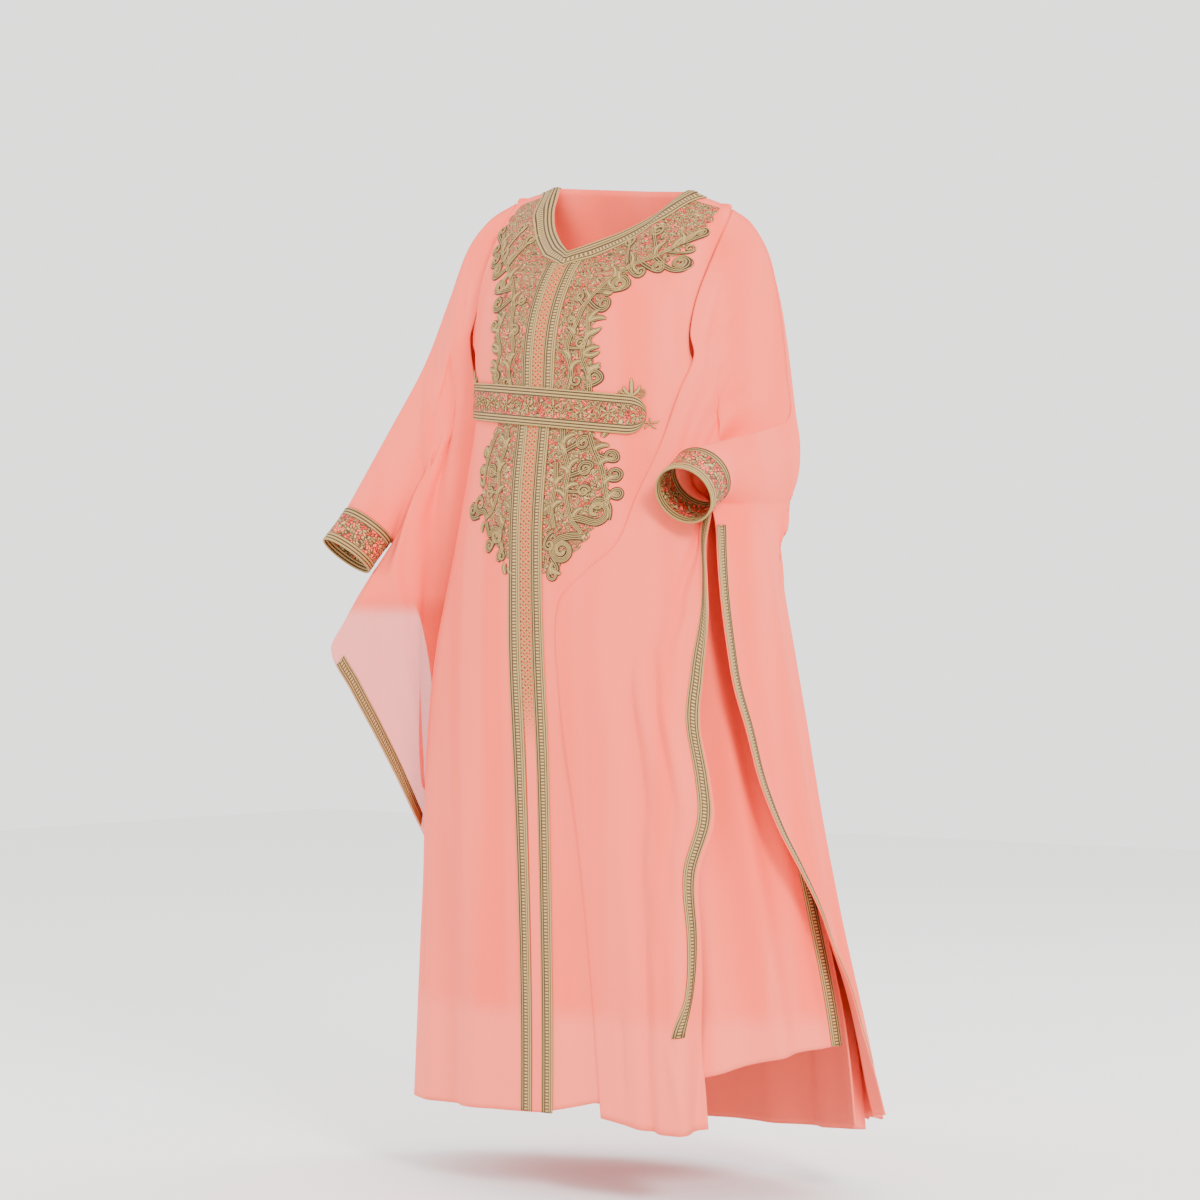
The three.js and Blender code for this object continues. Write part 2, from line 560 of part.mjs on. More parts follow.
const rightBackInner = [
  { drop: 0, phi: -128, lift: 2.1 }, { drop: 0.045, phi: -123, lift: 2.1 },
  { drop: 0.09, phi: -118, lift: 1.9 }, { drop: 0.13, phi: -113, lift: 2.4 },
  { drop: 0.17, phi: -108, lift: 5 }, { drop: 0.24, phi: -112, z: -340 },
  { drop: 0.36, phi: -122, z: -500 }, { drop: 0.5, phi: -131, z: -700 },
  { drop: 0.7, phi: -139, z: -980 }, { drop: 1, phi: -146, z: -1415 },
];
const rightBackOuter = [
  { drop: 0.17, x: -330, y: -158, z: -530 }, { drop: 0.22, x: -350, y: -138, z: -585 },
  { drop: 0.28, x: -356, y: -75, z: -622 }, { drop: 0.36, x: -371, y: -25, z: -700 },
  { drop: 0.46, x: -388, y: 10, z: -800 }, { drop: 0.6, x: -405, y: 26, z: -960 },
  { drop: 0.8, x: -420, y: 34, z: -1180 }, { drop: 1, x: -432, y: 40, z: -1400 },
];

const wingShares = [0, 0.04, 0.12, 0.2, 0.28, 0.36, 0.44, 0.52, 0.6, 0.68, 0.76, 0.84, 0.92, 1];
const wingDrops = [0, 0.045, 0.09, 0.13, 0.17, 0.2, 0.24, 0.28, 0.32, 0.36, 0.4, 0.44, 0.48,
  0.53, 0.58, 0.63, 0.68, 0.73, 0.78, 0.83, 0.88, 0.94, 1];

const edgeBraid = [{ drop: 0, inset: 1 }, { drop: 1, inset: 1 }];

const wingLayers = {
  wing_left_front: {
    arm: leftArm, cuff: leftCuff, layerSign: 1, inner: leftFrontInner, outer: leftFrontOuter,
    hem: leftFrontHem, facing: 1, armReach: 6,
    braid: [
      { drop: 0, inset: 1 }, { drop: 0.5, inset: 1 }, { drop: 0.7, inset: 9 }, { drop: 0.79, inset: 12 },
      { drop: 0.85, inset: 24 }, { drop: 0.9, inset: 50 }, { drop: 1, inset: 60 },
    ],
    gap: gapTable([{ z: -262, gap: 8 }, { z: -500, gap: 14 }, { z: -1390, gap: 16 }]),
    folds: [
      { top: 0.18, hem: 0.3, start: 0.03, full: 0.1, fade: 0.2, height: -10, width: 0.05 },
      { top: 0.3, hem: 0.35, start: 0.03, full: 0.12, fade: 0.22, height: -10, width: 0.05 },
      { top: 0.42, hem: 0.4, start: 0.03, full: 0.12, fade: 0.24, height: -9, width: 0.05 },
      { top: 0.62, hem: 0.6, start: 0.02, full: 0.1, fade: 0.3, height: -9, width: 0.05 },
      { top: 0.42, hem: 0.52, start: 0.36, full: 0.5, height: -13, width: 0.07 },
      { top: 0.72, hem: 0.8, start: 0.3, full: 0.5, height: 10, width: 0.07 },
    ],
    pulls: [
      { share: 0.75, drop: 0.13, x: -32, y: -8, z: -8, wide: 0.26, tall: 0.12 },
      { share: 0.35, drop: 0.17, x: -12, y: 24, z: 0, wide: 0.16, tall: 0.08 },
    ],
  },
  wing_left_back: {
    arm: leftArm, cuff: leftCuff, layerSign: -1, inner: leftBackInner, outer: leftBackOuter,
    facing: -1, armReach: 1.3, braid: edgeBraid,
    gap: gapTable([{ z: -262, gap: 40 }, { z: -480, gap: 52 }, { z: -620, gap: 42 },
      { z: -800, gap: 28 }, { z: -990, gap: 14 }, { z: -1180, gap: 14 }, { z: -1390, gap: 30 }]),
    folds: [
      { top: 0.3, hem: 0.2, start: 0.04, full: 0.2, height: -14, width: 0.06 },
      { top: 0.45, hem: 0.42, start: 0.06, full: 0.3, height: -13, width: 0.06 },
      { top: 0.62, hem: 0.64, start: 0.1, full: 0.35, height: -10, width: 0.06 },
      { top: 0.8, hem: 0.8, start: 0.2, full: 0.45, height: -8, width: 0.06 },
    ],
    pulls: [
      { share: 0.72, drop: 0.12, x: 14, y: 4, z: -14, wide: 0.25, tall: 0.12 },
      { share: 0.3, drop: 0.2, x: -22, y: 48, z: 0, wide: 0.26, tall: 0.13 },
    ],
  },
  wing_right_front: {
    arm: rightArm, cuff: rightCuff, layerSign: 1, inner: rightFrontInner, outer: rightFrontOuter,
    facing: -1, armReach: 3, braid: edgeBraid,
    gap: gapTable([{ z: -262, gap: 8 }, { z: -1390, gap: 9 }]),
    folds: [
      { top: 0.25, hem: 0.3, start: 0.05, full: 0.2, fade: 0.6, height: -12, width: 0.1 },
      { top: 0.62, hem: 0.5, start: 0.05, full: 0.16, fade: 0.4, height: 8, width: 0.06 },
    ],
    pulls: [],
  },
  wing_right_back: {
    arm: rightArm, cuff: rightCuff, layerSign: -1, inner: rightBackInner, outer: rightBackOuter,
    facing: 1, armReach: 1.8, braid: edgeBraid,
    gap: gapTable([{ z: -262, gap: 22 }, { z: -700, gap: 26 }, { z: -1390, gap: 30 }]),
    folds: [
      { top: 0.3, hem: 0.25, start: 0.04, full: 0.2, height: -13, width: 0.06 },
      { top: 0.5, hem: 0.5, start: 0.1, full: 0.35, height: -12, width: 0.06 },
      { top: 0.75, hem: 0.76, start: 0.2, full: 0.45, height: -8, width: 0.06 },
    ],
    pulls: [],
  },
};

// Part of a sheet between two rows, with each cut end drawn back by half a seam gap.
function cutSheet(sheet, first, last) {
  const rows = sheet.rows.slice(first, last + 1).map((row) => row.map((p) => p.clone()));
  const drawBack = (row, i, sign) => row.forEach((p, j) => {
    const down = sheet.rows[i + 1][j].clone().sub(sheet.rows[i - 1][j]).normalize();
    p.addScaledVector(down, (sign * sleeveSeamGap) / 2);
  });
  if (first > 0) drawBack(rows[0], first, 1);
  if (last < sheet.rows.length - 1) drawBack(rows.at(-1), last, -1);
  return { ...sheet, rows, normals: sheet.normals.slice(first, last + 1) };
}

// Each layer is two pieces: the sleeve round the arm, and the wing that falls from it.
const sleeveSeamGap = 0.9;
const sleeveEndRow = wingDrops.indexOf(0.32);
const wingSheets = {};
for (const [name, layer] of Object.entries(wingLayers)) {
  const sheet = wingLayer(layer);
  wingSheets[name] = sheet;
  addWall(name.replace('wing', 'sleeve'), cutSheet(sheet, 0, sleeveEndRow));
  addWall(name, cutSheet(sheet, sleeveEndRow, wingDrops.length - 1));
}

// Tubes of braid beyond the mouths of the sleeves.
const cuffSegments = 32;
const cuffWall = 3;
const cuffProud = 1;
const cuffGap = 0.8;

function addCuff(name, cuff) {
  const profile = [
    { out: cuff.radius + cuffProud, on: cuffGap },
    { out: cuff.radius + cuffProud, on: cuff.length },
    { out: cuff.radius + cuffProud - cuffWall, on: cuff.length },
    { out: cuff.radius + cuffProud - cuffWall, on: cuffGap },
  ];
  const positions = [];
  const faces = [];
  for (let s = 0; s < cuffSegments; s += 1) {
    const out = cuffOut(cuff, (360 * s) / cuffSegments);
    for (let k = 0; k < 4; k += 1) {
      const p = cuff.mouth.clone().addScaledVector(out, profile[k].out);
      p.addScaledVector(cuff.axis, profile[k].on);
      positions.push(p.x, p.y, p.z);
      const a = s * 4 + k;
      const b = s * 4 + ((k + 1) % 4);
      const c = ((s + 1) % cuffSegments) * 4 + ((k + 1) % 4);
      const d = ((s + 1) % cuffSegments) * 4 + k;
      faces.push(a, c, b, a, d, c);
    }
  }
  const geometry = new THREE.BufferGeometry();
  geometry.setAttribute('position', new THREE.Float32BufferAttribute(positions, 3));
  geometry.setIndex(faces);
  geometry.computeVertexNormals();
  addPiece(name, geometry, gold);
}
addCuff('cuff_left', leftCuff);
addCuff('cuff_right', rightCuff);

// The place on the body panels' own flat facets that is nearest to a point.
const facets = [frontSheet, backSheet].flatMap(({ rows }) => rows.slice(1).flatMap((below, i) => (
  below.slice(1).flatMap((_, j) => [
    new THREE.Triangle(rows[i][j], below[j], below[j + 1]),
    new THREE.Triangle(rows[i][j], below[j + 1], rows[i][j + 1]),
  ]))));

// Shares of a quad's four corners at the places where it is checked.
const sampleShares = [
  [0.5, 0.5, 0, 0], [0, 0.5, 0.5, 0], [0, 0, 0.5, 0.5], [0.5, 0, 0, 0.5], [0.5, 0, 0.5, 0],
  [0.25, 0, 0.75, 0], [0.75, 0, 0.25, 0], [0.4, 0.4, 0.2, 0], [0.4, 0, 0.2, 0.4], [0.2, 0.4, 0.4, 0],
  [0.2, 0, 0.4, 0.4], [0.25, 0.75, 0, 0], [0.75, 0.25, 0, 0], [0.25, 0, 0, 0.75], [0.75, 0, 0, 0.25],
];

function layOn(target) {
  const best = { place: null, distance: Infinity };
  for (const facet of facets) {
    const place = facet.closestPointToPoint(target, point(0, 0, 0));
    const distance = place.distanceTo(target);
    if (distance < best.distance) Object.assign(best, { place, distance });
  }
  return best.place;
}

// Raises a strip's points until none of its flat facets cuts into the panels' facets.
function raiseClear(rows, normals) {
  const raises = rows.map((row) => row.map(() => 0));
  for (let i = 0; i < rows.length - 1; i += 1) {
    for (let j = 0; j < rows[0].length - 1; j += 1) {
      const corners = [[i, j], [i + 1, j], [i + 1, j + 1], [i, j + 1]];
      for (const share of sampleShares) {
        const at = (list) => corners.reduce((sum, [a, b], k) => (
          sum.addScaledVector(list[a][b], share[k])), point(0, 0, 0));
        const p = at(rows);
        const short = layOn(p).sub(p).dot(at(normals));
        for (const [a, b] of corners) raises[a][b] = Math.max(raises[a][b], short + clearance);
      }
    }
  }
  rows.forEach((row, i) => row.forEach((p, j) => p.addScaledVector(normals[i][j], raises[i][j])));
}

// A strip laid on the panels between two edges, given as matching inner and outer points.
function addStrip(name, edges, columns, lift, thickness) {
  const rows = edges.map(({ inner, outer }) => (
    Array.from({ length: columns + 1 }, (_, k) => layOn(inner.clone().lerp(outer, k / columns)))));
  const down = rows[1][0].clone().sub(rows[0][0]);
  const across = rows[0][columns].clone().sub(rows[0][0]);
  const middle = rows[0][0].clone().sub(point(0, -30, -200));
  const facing = Math.sign(down.cross(across).dot(middle));
  const sheet = makeSheet(rows, facing);
  raiseClear(sheet.rows, sheet.normals);
  addPiece(name, solidFrom(sheet, -(lift + thickness), -lift), gold);
}

// Neck band: its inner edge is the neck and its outer edge lies squarely its width away. It is
// open by a hair at the middle of the back, where its two ends meet.
const neckBandWidth = 33;
const neckTurns = [0, 3, 6, 9, 13, 17, 21, 25, 28, 30, 152, 155, 160, 165, 170, 175, 179.7];
const shoulderTurn = 30;

const shoulderBandTurn = 39.8;
const tipReach = 1.25;

// A place a set width out from the neck edge. At the shoulder it lies along the seam, and at the
// tip of the V the band's two sides meet in a mitre.
function neckPoint(turn, width) {
  const edge = topEdge(turn);
  if (Math.abs(turn) === shoulderTurn) {
    return topEdge(Math.sign(turn) * mix(shoulderTurn, shoulderBandTurn, width / neckBandWidth));
  }
  const run = topEdge(turn + 0.5).sub(topEdge(turn - 0.5));
  const down = bodyPoint(turn, edge.z - 2).sub(edge);
  const inwards = run.clone().cross(run.clone().cross(down)).normalize();
  return edge.addScaledVector(inwards, -width * mix(1, tipReach, bump(turn, 2)));
}

const neckRound = [...neckTurns.slice(1).toReversed().map((turn) => -turn), ...neckTurns];
addStrip('neck_band', neckRound.map((turn) => (
  { inner: neckPoint(turn, 0), outer: neckPoint(turn, neckBandWidth) })), 2, trimLift, trimThickness);

// Placket: two braids with a strip of fine embroidery between them, from the neck band to the hem.
const placketRows = [1, frontDrops.length - 1];
const placketPieces = [
  { name: 'placket_braid_right', from: 0, to: 1 },
  { name: 'placket_strip', from: 2, to: 3 },
  { name: 'placket_braid_left', from: 4, to: 5 },
];
for (const { name, from, to } of placketPieces) {
  addTrim(name, frontSheet, placketRows, [firstPlacketColumn + from, firstPlacketColumn + to]);
}

// Embroidery panels. Each row runs from the neck band, at a turn round the neck, or from the
// placket, at a height, out to a place on the body.
const besidePlacket = 31;
const besideNeckBand = 36;
const embroidery = {
  yoke_left: [
    { turn: 27, phi: 50, z: -38 }, { turn: 24, phi: 51, z: -70 }, { turn: 21, phi: 51, z: -92 },
    { turn: 17, phi: 51, z: -116 }, { turn: 13, phi: 48, z: -138 }, { turn: 10, phi: 37.5, z: -146 },
    { turn: 7, phi: 32, z: -162 }, { turn: 4, phi: 28.5, z: -184 }, { from: -170, phi: 26.5, z: -197 },
    { from: -195, phi: 27, z: -212 }, { from: -226, phi: 27.5, z: -228 },
    { from: -254, phi: 29, z: -254 }, { from: -280, phi: 29, z: -280 }, { from: -318, phi: 29.5, z: -318 },
  ],
  yoke_right: [
    { turn: 27, phi: 50, z: -14 }, { turn: 24, phi: 51, z: -42 }, { turn: 21, phi: 51, z: -70 },
    { turn: 17, phi: 47, z: -94 }, { turn: 13, phi: 43, z: -110 }, { turn: 10, phi: 36, z: -128 },
    { turn: 7, phi: 27, z: -140 }, { turn: 4, phi: 30, z: -156 }, { from: -154, phi: 33, z: -166 },
    { from: -180, phi: 31.5, z: -186 }, { from: -212, phi: 32, z: -212 },
    { from: -240, phi: 32.5, z: -240 }, { from: -270, phi: 29, z: -270 }, { from: -312, phi: 29, z: -312 },
  ],
  skirt_left: [
    { from: -364, phi: 28.5, z: -372 }, { from: -388, phi: 37, z: -394 }, { from: -413, phi: 40, z: -418 },
    { from: -440, phi: 41, z: -446 }, { from: -466, phi: 41.5, z: -472 }, { from: -490, phi: 40, z: -494 },
    { from: -510, phi: 37, z: -512 }, { from: -530, phi: 33, z: -531 }, { from: -548, phi: 26, z: -544 },
    { from: -566, phi: 20.5, z: -562 }, { from: -582, phi: 15, z: -577 }, { from: -598, phi: 11, z: -592 },
  ],
  skirt_right: [
    { from: -358, phi: 24.5, z: -364 }, { from: -388, phi: 28, z: -392 }, { from: -416, phi: 31.5, z: -418 },
    { from: -444, phi: 31, z: -446 }, { from: -466, phi: 35, z: -468 }, { from: -486, phi: 35, z: -488 },
    { from: -505, phi: 26, z: -504 }, { from: -523, phi: 22, z: -522 }, { from: -541, phi: 20, z: -540 },
    { from: -558, phi: 13, z: -554 }, { from: -580, phi: 9.5, z: -576 },
  ],
};
for (const [name, rows] of Object.entries(embroidery)) {
  const side = name.endsWith('left') ? 1 : -1;
  addStrip(name, rows.map((row) => ({
    inner: row.turn ? neckPoint(side * row.turn, besideNeckBand)
      : bodyPoint(side * placketAngle(besidePlacket, row.from), row.from),
    outer: bodyPoint(side * row.phi, row.z),
  })), 5, trimLift, trimThickness);
}

// Belt: sewn over the placket and the embroidery, lower at the wearer's left, both ends rounded.
const beltLift = 4;
const beltThickness = 2.2;
const beltHalfWidth = 28.5;
const beltTurns = [
  -54, -52.5, -49, -45, -40, -35, -30, -26, -22, -18, -14, -10, -6.5, -2.5,
  2.5, 6.5, 10, 14, 18, 22, 26, 30, 35, 40, 44, 48, 51, 53,
];
const beltEnds = { right: -50, rightReach: 4.6, left: 44, leftReach: 9.6 };
const beltMiddle = { z: -337, slope: -0.1 };
const beltEdges = beltTurns.map((phi) => {
  const { x } = sectionPoint(phi, yokeBottom);
  const { right, rightReach, left, leftReach } = beltEnds;
  const end = Math.max(0, (phi - left) / leftReach, (right - phi) / rightReach);
  const half = beltHalfWidth * Math.sqrt(1 - end ** 2);
  const middle = beltMiddle.z + beltMiddle.slope * x;
  return { inner: bodyPoint(phi, middle + half), outer: bodyPoint(phi, middle - half) };
});
addStrip('belt', beltEdges, 4, beltLift, beltThickness);

// Braids along the open edges of the wings and down the body's side slits.
const wingBraids = [
  { name: 'wing_braid_left_front', wing: 'wing_left_front', from: 0.2, to: 0.9 },
  { name: 'wing_braid_left_back', wing: 'wing_left_back', from: 0.2, to: 0.94 },
  { name: 'wing_braid_right_front', wing: 'wing_right_front', from: 0.32, to: 0.58 },
  { name: 'wing_braid_right_back', wing: 'wing_right_back', from: 0.2, to: 0.94 },
];
for (const { name, wing, from, to } of wingBraids) {
  const firstRow = wingDrops.findIndex((drop) => drop >= from - 0.001);
  const lastRow = wingDrops.findLastIndex((drop) => drop <= to + 0.001);
  const column = wingShares.length - 1;
  addTrim(name, wingSheets[wing], [firstRow, lastRow], [column, column + 1]);
}
const slitRows = [frontDrops.indexOf(0.6), frontDrops.length - 1];
addTrim('slit_braid_right', frontSheet, slitRows, [0, 1]);
addTrim('slit_braid_left', frontSheet, slitRows, [frontColumns.length - 2, frontColumns.length - 1]);

export default group;
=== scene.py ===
import math

import bpy
import numpy as np
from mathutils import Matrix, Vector
from mathutils.bvhtree import BVHTree


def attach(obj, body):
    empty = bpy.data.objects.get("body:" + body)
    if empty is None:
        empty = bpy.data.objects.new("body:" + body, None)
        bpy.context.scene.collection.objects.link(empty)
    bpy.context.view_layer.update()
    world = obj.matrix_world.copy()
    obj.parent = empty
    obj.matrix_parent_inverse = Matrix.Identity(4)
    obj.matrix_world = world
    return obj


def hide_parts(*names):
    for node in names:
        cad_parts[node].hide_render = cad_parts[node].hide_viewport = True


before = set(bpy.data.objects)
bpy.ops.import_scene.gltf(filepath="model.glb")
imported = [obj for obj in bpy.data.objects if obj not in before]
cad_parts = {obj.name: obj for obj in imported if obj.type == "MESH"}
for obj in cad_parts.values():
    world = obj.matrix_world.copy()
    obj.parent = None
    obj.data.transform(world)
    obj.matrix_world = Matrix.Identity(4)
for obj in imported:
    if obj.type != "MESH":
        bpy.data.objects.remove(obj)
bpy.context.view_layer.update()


# Body of the abaya: a front and a back panel of thin crepe over a plain lining of its own colour,
# sewn together at the shoulders and the sides and open as slits lower down. The hem falls in soft
# lengthwise folds, and the lining stops short of it.
PEACH = (0.95, 0.125, 0.074)
# PEACH_SHADE is the crepe's colour in shade: it paints shade in the crepe's streaks and along the placket
# strip's edge, and is a deeper tone in the embroidery grounds.
PEACH_SHADE = (0.93, 0.070, 0.028)
PEACH_HEM = (0.96, 0.15, 0.094)
WALL = 1.4
BODY_ROWS = 150
PANELS_APART = 0.3
# Where the sections start, where the folds end, and how far a degree reaches round the body.
CHEST_LEVEL = -300
HEM_LEVEL = -1400
MM_PER_DEGREE = 4.4

# Level, half-widths on the right and the left, middle, and depths of the front and the back.
BODY_SECTIONS = [
    (-300, 205, 205, -62, 145, 160), (-364, 203, 197, -64, 153, 162), (-450, 222, 202, -58, 171, 166),
    (-530, 249, 230, -45, 190, 168), (-696, 313, 264, -20, 212, 172), (-868, 352, 300, 0, 221, 178),
    (-1074, 370, 345, 15, 228, 192), (-1250, 388, 378, 25, 234, 205), (-1440, 402, 396, 30, 240, 220)]
# Turn round the neck and armhole, and the top edge's place there on the wearer's left.
TOP_FRONT = [
    (0, 0, -135, -104), (8, 33, -112, -87), (16, 68, -80, -65), (24, 98, -42, -35), (30, 118, -4, -1),
    (40, 152, -2, -9), (46, 175, -2.5, -16), (52, 196, -3, -25), (57, 194, -48, -95), (62, 192, -86, -160),
    (67, 194, -106, -212), (72, 198, -107, -248), (81, 206, -85, -260), (90, 208, -62, -264)]
TOP_BACK = [
    (90, 208, -62, -264), (99, 206, -37, -260), (108, 199, -10, -248), (113, 196, 15, -210),
    (118, 194, 32, -155), (123, 196, 28, -90), (128, 196, -3, -25), (134, 175, -2.5, -16),
    (140, 152, -2, -9), (150, 118, -4, -1), (160, 88, 38, 2), (170, 42, 57, 3), (180, 0, 62, 3)]
# Folds: turn at the top and the hem, heights where one starts and is full, depth, and width.
BODY_FOLDS = [
    (-70, -66, -330, -640, -12, 6), (-50, -31, -380, -760, -11, 8), (-22, -19, -560, -1100, 6, 6),
    (8, 12, -600, -860, -6, 4), (34, 36, -480, -900, -9, 6), (56, 55, -430, -900, -12, 6),
    (76, 73, -400, -900, -12, 6), (104, 103, -380, -900, -12, 6), (124, 121, -340, -800, -15, 6),
    (142, 141, -420, -860, -14, 6), (163, 162, -330, -900, -16, 6), (-176, -177, -420, -900, -15, 6),
    (-156, -154, -340, -860, -16, 6), (-134, -136, -400, -900, -14, 6), (-112, -110, -350, -900, -14, 6)]
# Creases: depth, width in mm, and the turns and heights that one runs through.
BODY_CREASES = [
    (-6, 16, [(-45, -350), (-54, -440), (-55, -500), (-57, -640), (-56, -900), (-55, -1150)]),
    (5, 16, [(-49, -480), (-48, -640), (-44, -860), (-41, -1376)]),
    (-4, 16, [(-36, -560), (-33, -800), (-30, -1374)]), (3, 15, [(-26, -700), (-24, -1373)]),
    (-3, 14, [(-15, -760), (-13, -1372)]), (-2, 12, [(44, -190), (47, -300)]),
    (-3, 14, [(60, -200), (72, -300)]), (4, 16, [(46, -560), (46, -1330)]),
    (5, 16, [(66, -480), (65, -1300)]), (-4, 14, [(84, -420), (84, -1260)]),
    (-5, 18, [(170, -420), (171, -1430)]), (4, 18, [(152, -460), (150, -1420)]),
    (-5, 18, [(132, -380), (131, -1410)]), (4, 16, [(114, -420), (112, -1400)]),
    (4, 18, [(-166, -460), (-166, -1430)]), (-5, 18, [(-145, -420), (-146, -1420)]),
    (4, 16, [(-122, -380), (-121, -1410)]), (3, 16, [(-100, -420), (-99, -1400)])]


def along(rows, at):
    """A table's other columns at any value of its first one, on a smooth curve through the rows."""
    rows = np.asarray(rows, float)
    if rows[-1, 0] < rows[0, 0]:
        rows = rows[::-1]
    keys = rows[:, 0]
    last = len(keys) - 1
    at = np.clip(np.asarray(at, float), keys[0], keys[-1])
    i = np.clip(np.searchsorted(keys, at, "right") - 1, 0, last - 1)
    ahead = np.minimum(np.arange(last + 1) + 1, last)
    behind = np.maximum(np.arange(last + 1) - 1, 0)
    slopes = (rows[ahead, 1:] - rows[behind, 1:]) / (keys[ahead] - keys[behind])[:, None]
    step = (keys[i + 1] - keys[i])[..., None]
    f = ((at - keys[i]) / (keys[i + 1] - keys[i]))[..., None]
    smooth = rows[i, 1:] + (rows[i + 1, 1:] - rows[i, 1:]) * f * f * (3 - 2 * f)
    return smooth + f * (1 - f) ** 2 * step * slopes[i] + f * f * (f - 1) * step * slopes[i + 1]


def ramp(start, full, at):
    f = np.clip((np.asarray(at, float) - start) / (full - start), 0, 1)
    return f * f * (3 - 2 * f)


def bump(offset, width):
    return np.exp(-((np.asarray(offset, float) / width) ** 2))


def mix(a, b, f):
    return a + (b - a) * f


def unit(v):
    return v / np.maximum(np.linalg.norm(v, axis=-1, keepdims=True), 1e-9)


def shade(colour, share):
    return tuple(c * share for c in colour)


def half_turn(turn):
    """The same turn, from -180 to 180."""
    return (turn + 540) % 360 - 180


def section(turn, z):
    """Middle, half-width and depth of the body's section at a height."""
    right, left, middle, front, back = np.moveaxis(along(BODY_SECTIONS, z), -1, 0)
    return middle, np.where(turn < 0, right, left), np.where(np.abs(turn) <= 90, front, back)


def top_edge(turn):
    turn = np.asarray(turn, float)
    away = np.abs(turn)
    p = np.where((away <= 90)[..., None], along(TOP_FRONT, away), along(TOP_BACK, away))
    p[..., 0] *= np.sign(turn)
    p[..., 1] += 0.0003 * p[..., 0] * np.abs(p[..., 0])
    p[..., 2] -= 0.085 * p[..., 0]
    return p


def crease_depth(creases, across, down, across_mm, down_mm):
    """Depth of small creases that run through a few places, fading out at both ends."""
    across, down = np.broadcast_arrays(across, down)
    depth = np.zeros(across.shape)
    on_body = down_mm == 1
    for height, width, places in creases:
        places = np.array(places, float)
        side = across - places[0, 0]
        if on_body:
            side = half_turn(side)
        p = np.stack([side * across_mm, down * down_mm], -1)
        line = np.stack([(places[:, 0] - places[0, 0]) * across_mm, places[:, 1] * down_mm], -1)
        runs = np.hypot(*np.diff(line, axis=0).T)
        best = np.full(across.shape, 1e9)
        share = np.zeros(across.shape)
        for a, b, run, before in zip(line, line[1:], runs, np.cumsum(runs) - runs):
            on = np.clip((p - a) @ (b - a) / run ** 2, 0, 1)
            off = np.hypot(*np.moveaxis(p - a - on[..., None] * (b - a), -1, 0))
            share = np.where(off < best, (before + on * run) / runs.sum(), share)
            best = np.minimum(best, off)
        to_hem = on_body and places[-1, 1] < -1200
        depth += height * bump(best, width) * ramp(0, 0.3, share) * (1 if to_hem else 1 - ramp(0.7, 1, share))
    return depth


def fold_depth(turn, z):
    depth = np.zeros(np.broadcast(turn, z).shape)
    for top, hem, start, full, height, width in BODY_FOLDS:
        away = half_turn(turn - mix(top, hem, ramp(start, HEM_LEVEL, z)))
        depth += height * bump(away, width) * ramp(start, full, z)
    return depth + crease_depth(BODY_CREASES, turn, z, MM_PER_DEGREE, 1)


def body_point(turn, z, lift=0.0):
    """The body cloth's outer face, folds included."""
    turn, z = np.broadcast_arrays(np.asarray(turn, float), np.asarray(z, float))
    angle = np.radians(turn)
    middle, half, depth = section(turn, np.minimum(z, CHEST_LEVEL))
    p = np.stack([half * np.sin(angle), middle - depth * np.cos(angle), z], -1)
    top = top_edge(turn)
    f = np.clip((z - CHEST_LEVEL) / (top[..., 2] - CHEST_LEVEL), 0, 1)
    p[..., 0] += (top[..., 0] - p[..., 0]) * f
    p[..., 1] += (top[..., 1] - p[..., 1]) * f ** 2.4
    out = lift + fold_depth(turn, z)
    p[..., 0] += np.sin(angle) * out
    p[..., 1] -= np.cos(angle) * out
    return p


def hem_height(turn):
    angle = np.radians(turn)
    rise = np.abs(np.sin(angle))
    front = np.where(turn > 0, -1372 + 104 * rise ** 1.2, -1372 - 15 * rise)
    back = np.where(turn > 0, -1385 + 43 * np.cos(angle), -1392 + 36 * np.cos(angle))
    return np.where(np.abs(turn) <= 90, front, back)


def grid_normals(rows, facing):
    down = np.gradient(rows, axis=0)
    across = np.gradient(rows, axis=1)
    return unit(np.cross(down, across)) * facing


def lengths(rows, axis):
    """Distance along a grid's rows or columns from its first line, at every point."""
    steps = np.linalg.norm(np.diff(rows, axis=axis), axis=-1)
    first = np.zeros_like(np.take(steps, [0], axis=axis))
    return np.cumsum(np.concatenate([first, steps], axis=axis), axis=axis)


def grid_quads(height, width, first=0):
    a = (np.arange(height - 1)[:, None] * width + np.arange(width - 1)).ravel() + first
    return np.stack([a, a + width, a + width + 1, a + 1], 1)


def link_mesh(name, material, points, faces, flat_map, rough_from=None):
    """A mesh object from millimetre points, with a map of real metres, smooth up to a face number."""
    mesh = bpy.data.meshes.new(name)
    mesh.from_pydata((np.asarray(points) / 1000).tolist(), [], faces)
    corners = np.empty(len(mesh.loops), np.int64)
    mesh.loops.foreach_get("vertex_index", corners)
    flat = np.asarray(flat_map, np.float32)[corners] / 1000
    mesh.uv_layers.new(name="metres").data.foreach_set("uv", flat.ravel())
    smooth = np.ones(len(mesh.polygons), bool)
    if rough_from is not None:
        smooth[rough_from:] = False
    mesh.polygons.foreach_set("use_smooth", smooth)
    mesh.update()
    mesh.materials.append(material)
    made = bpy.data.objects.new(name, mesh)
    bpy.context.scene.collection.objects.link(made)
    return made


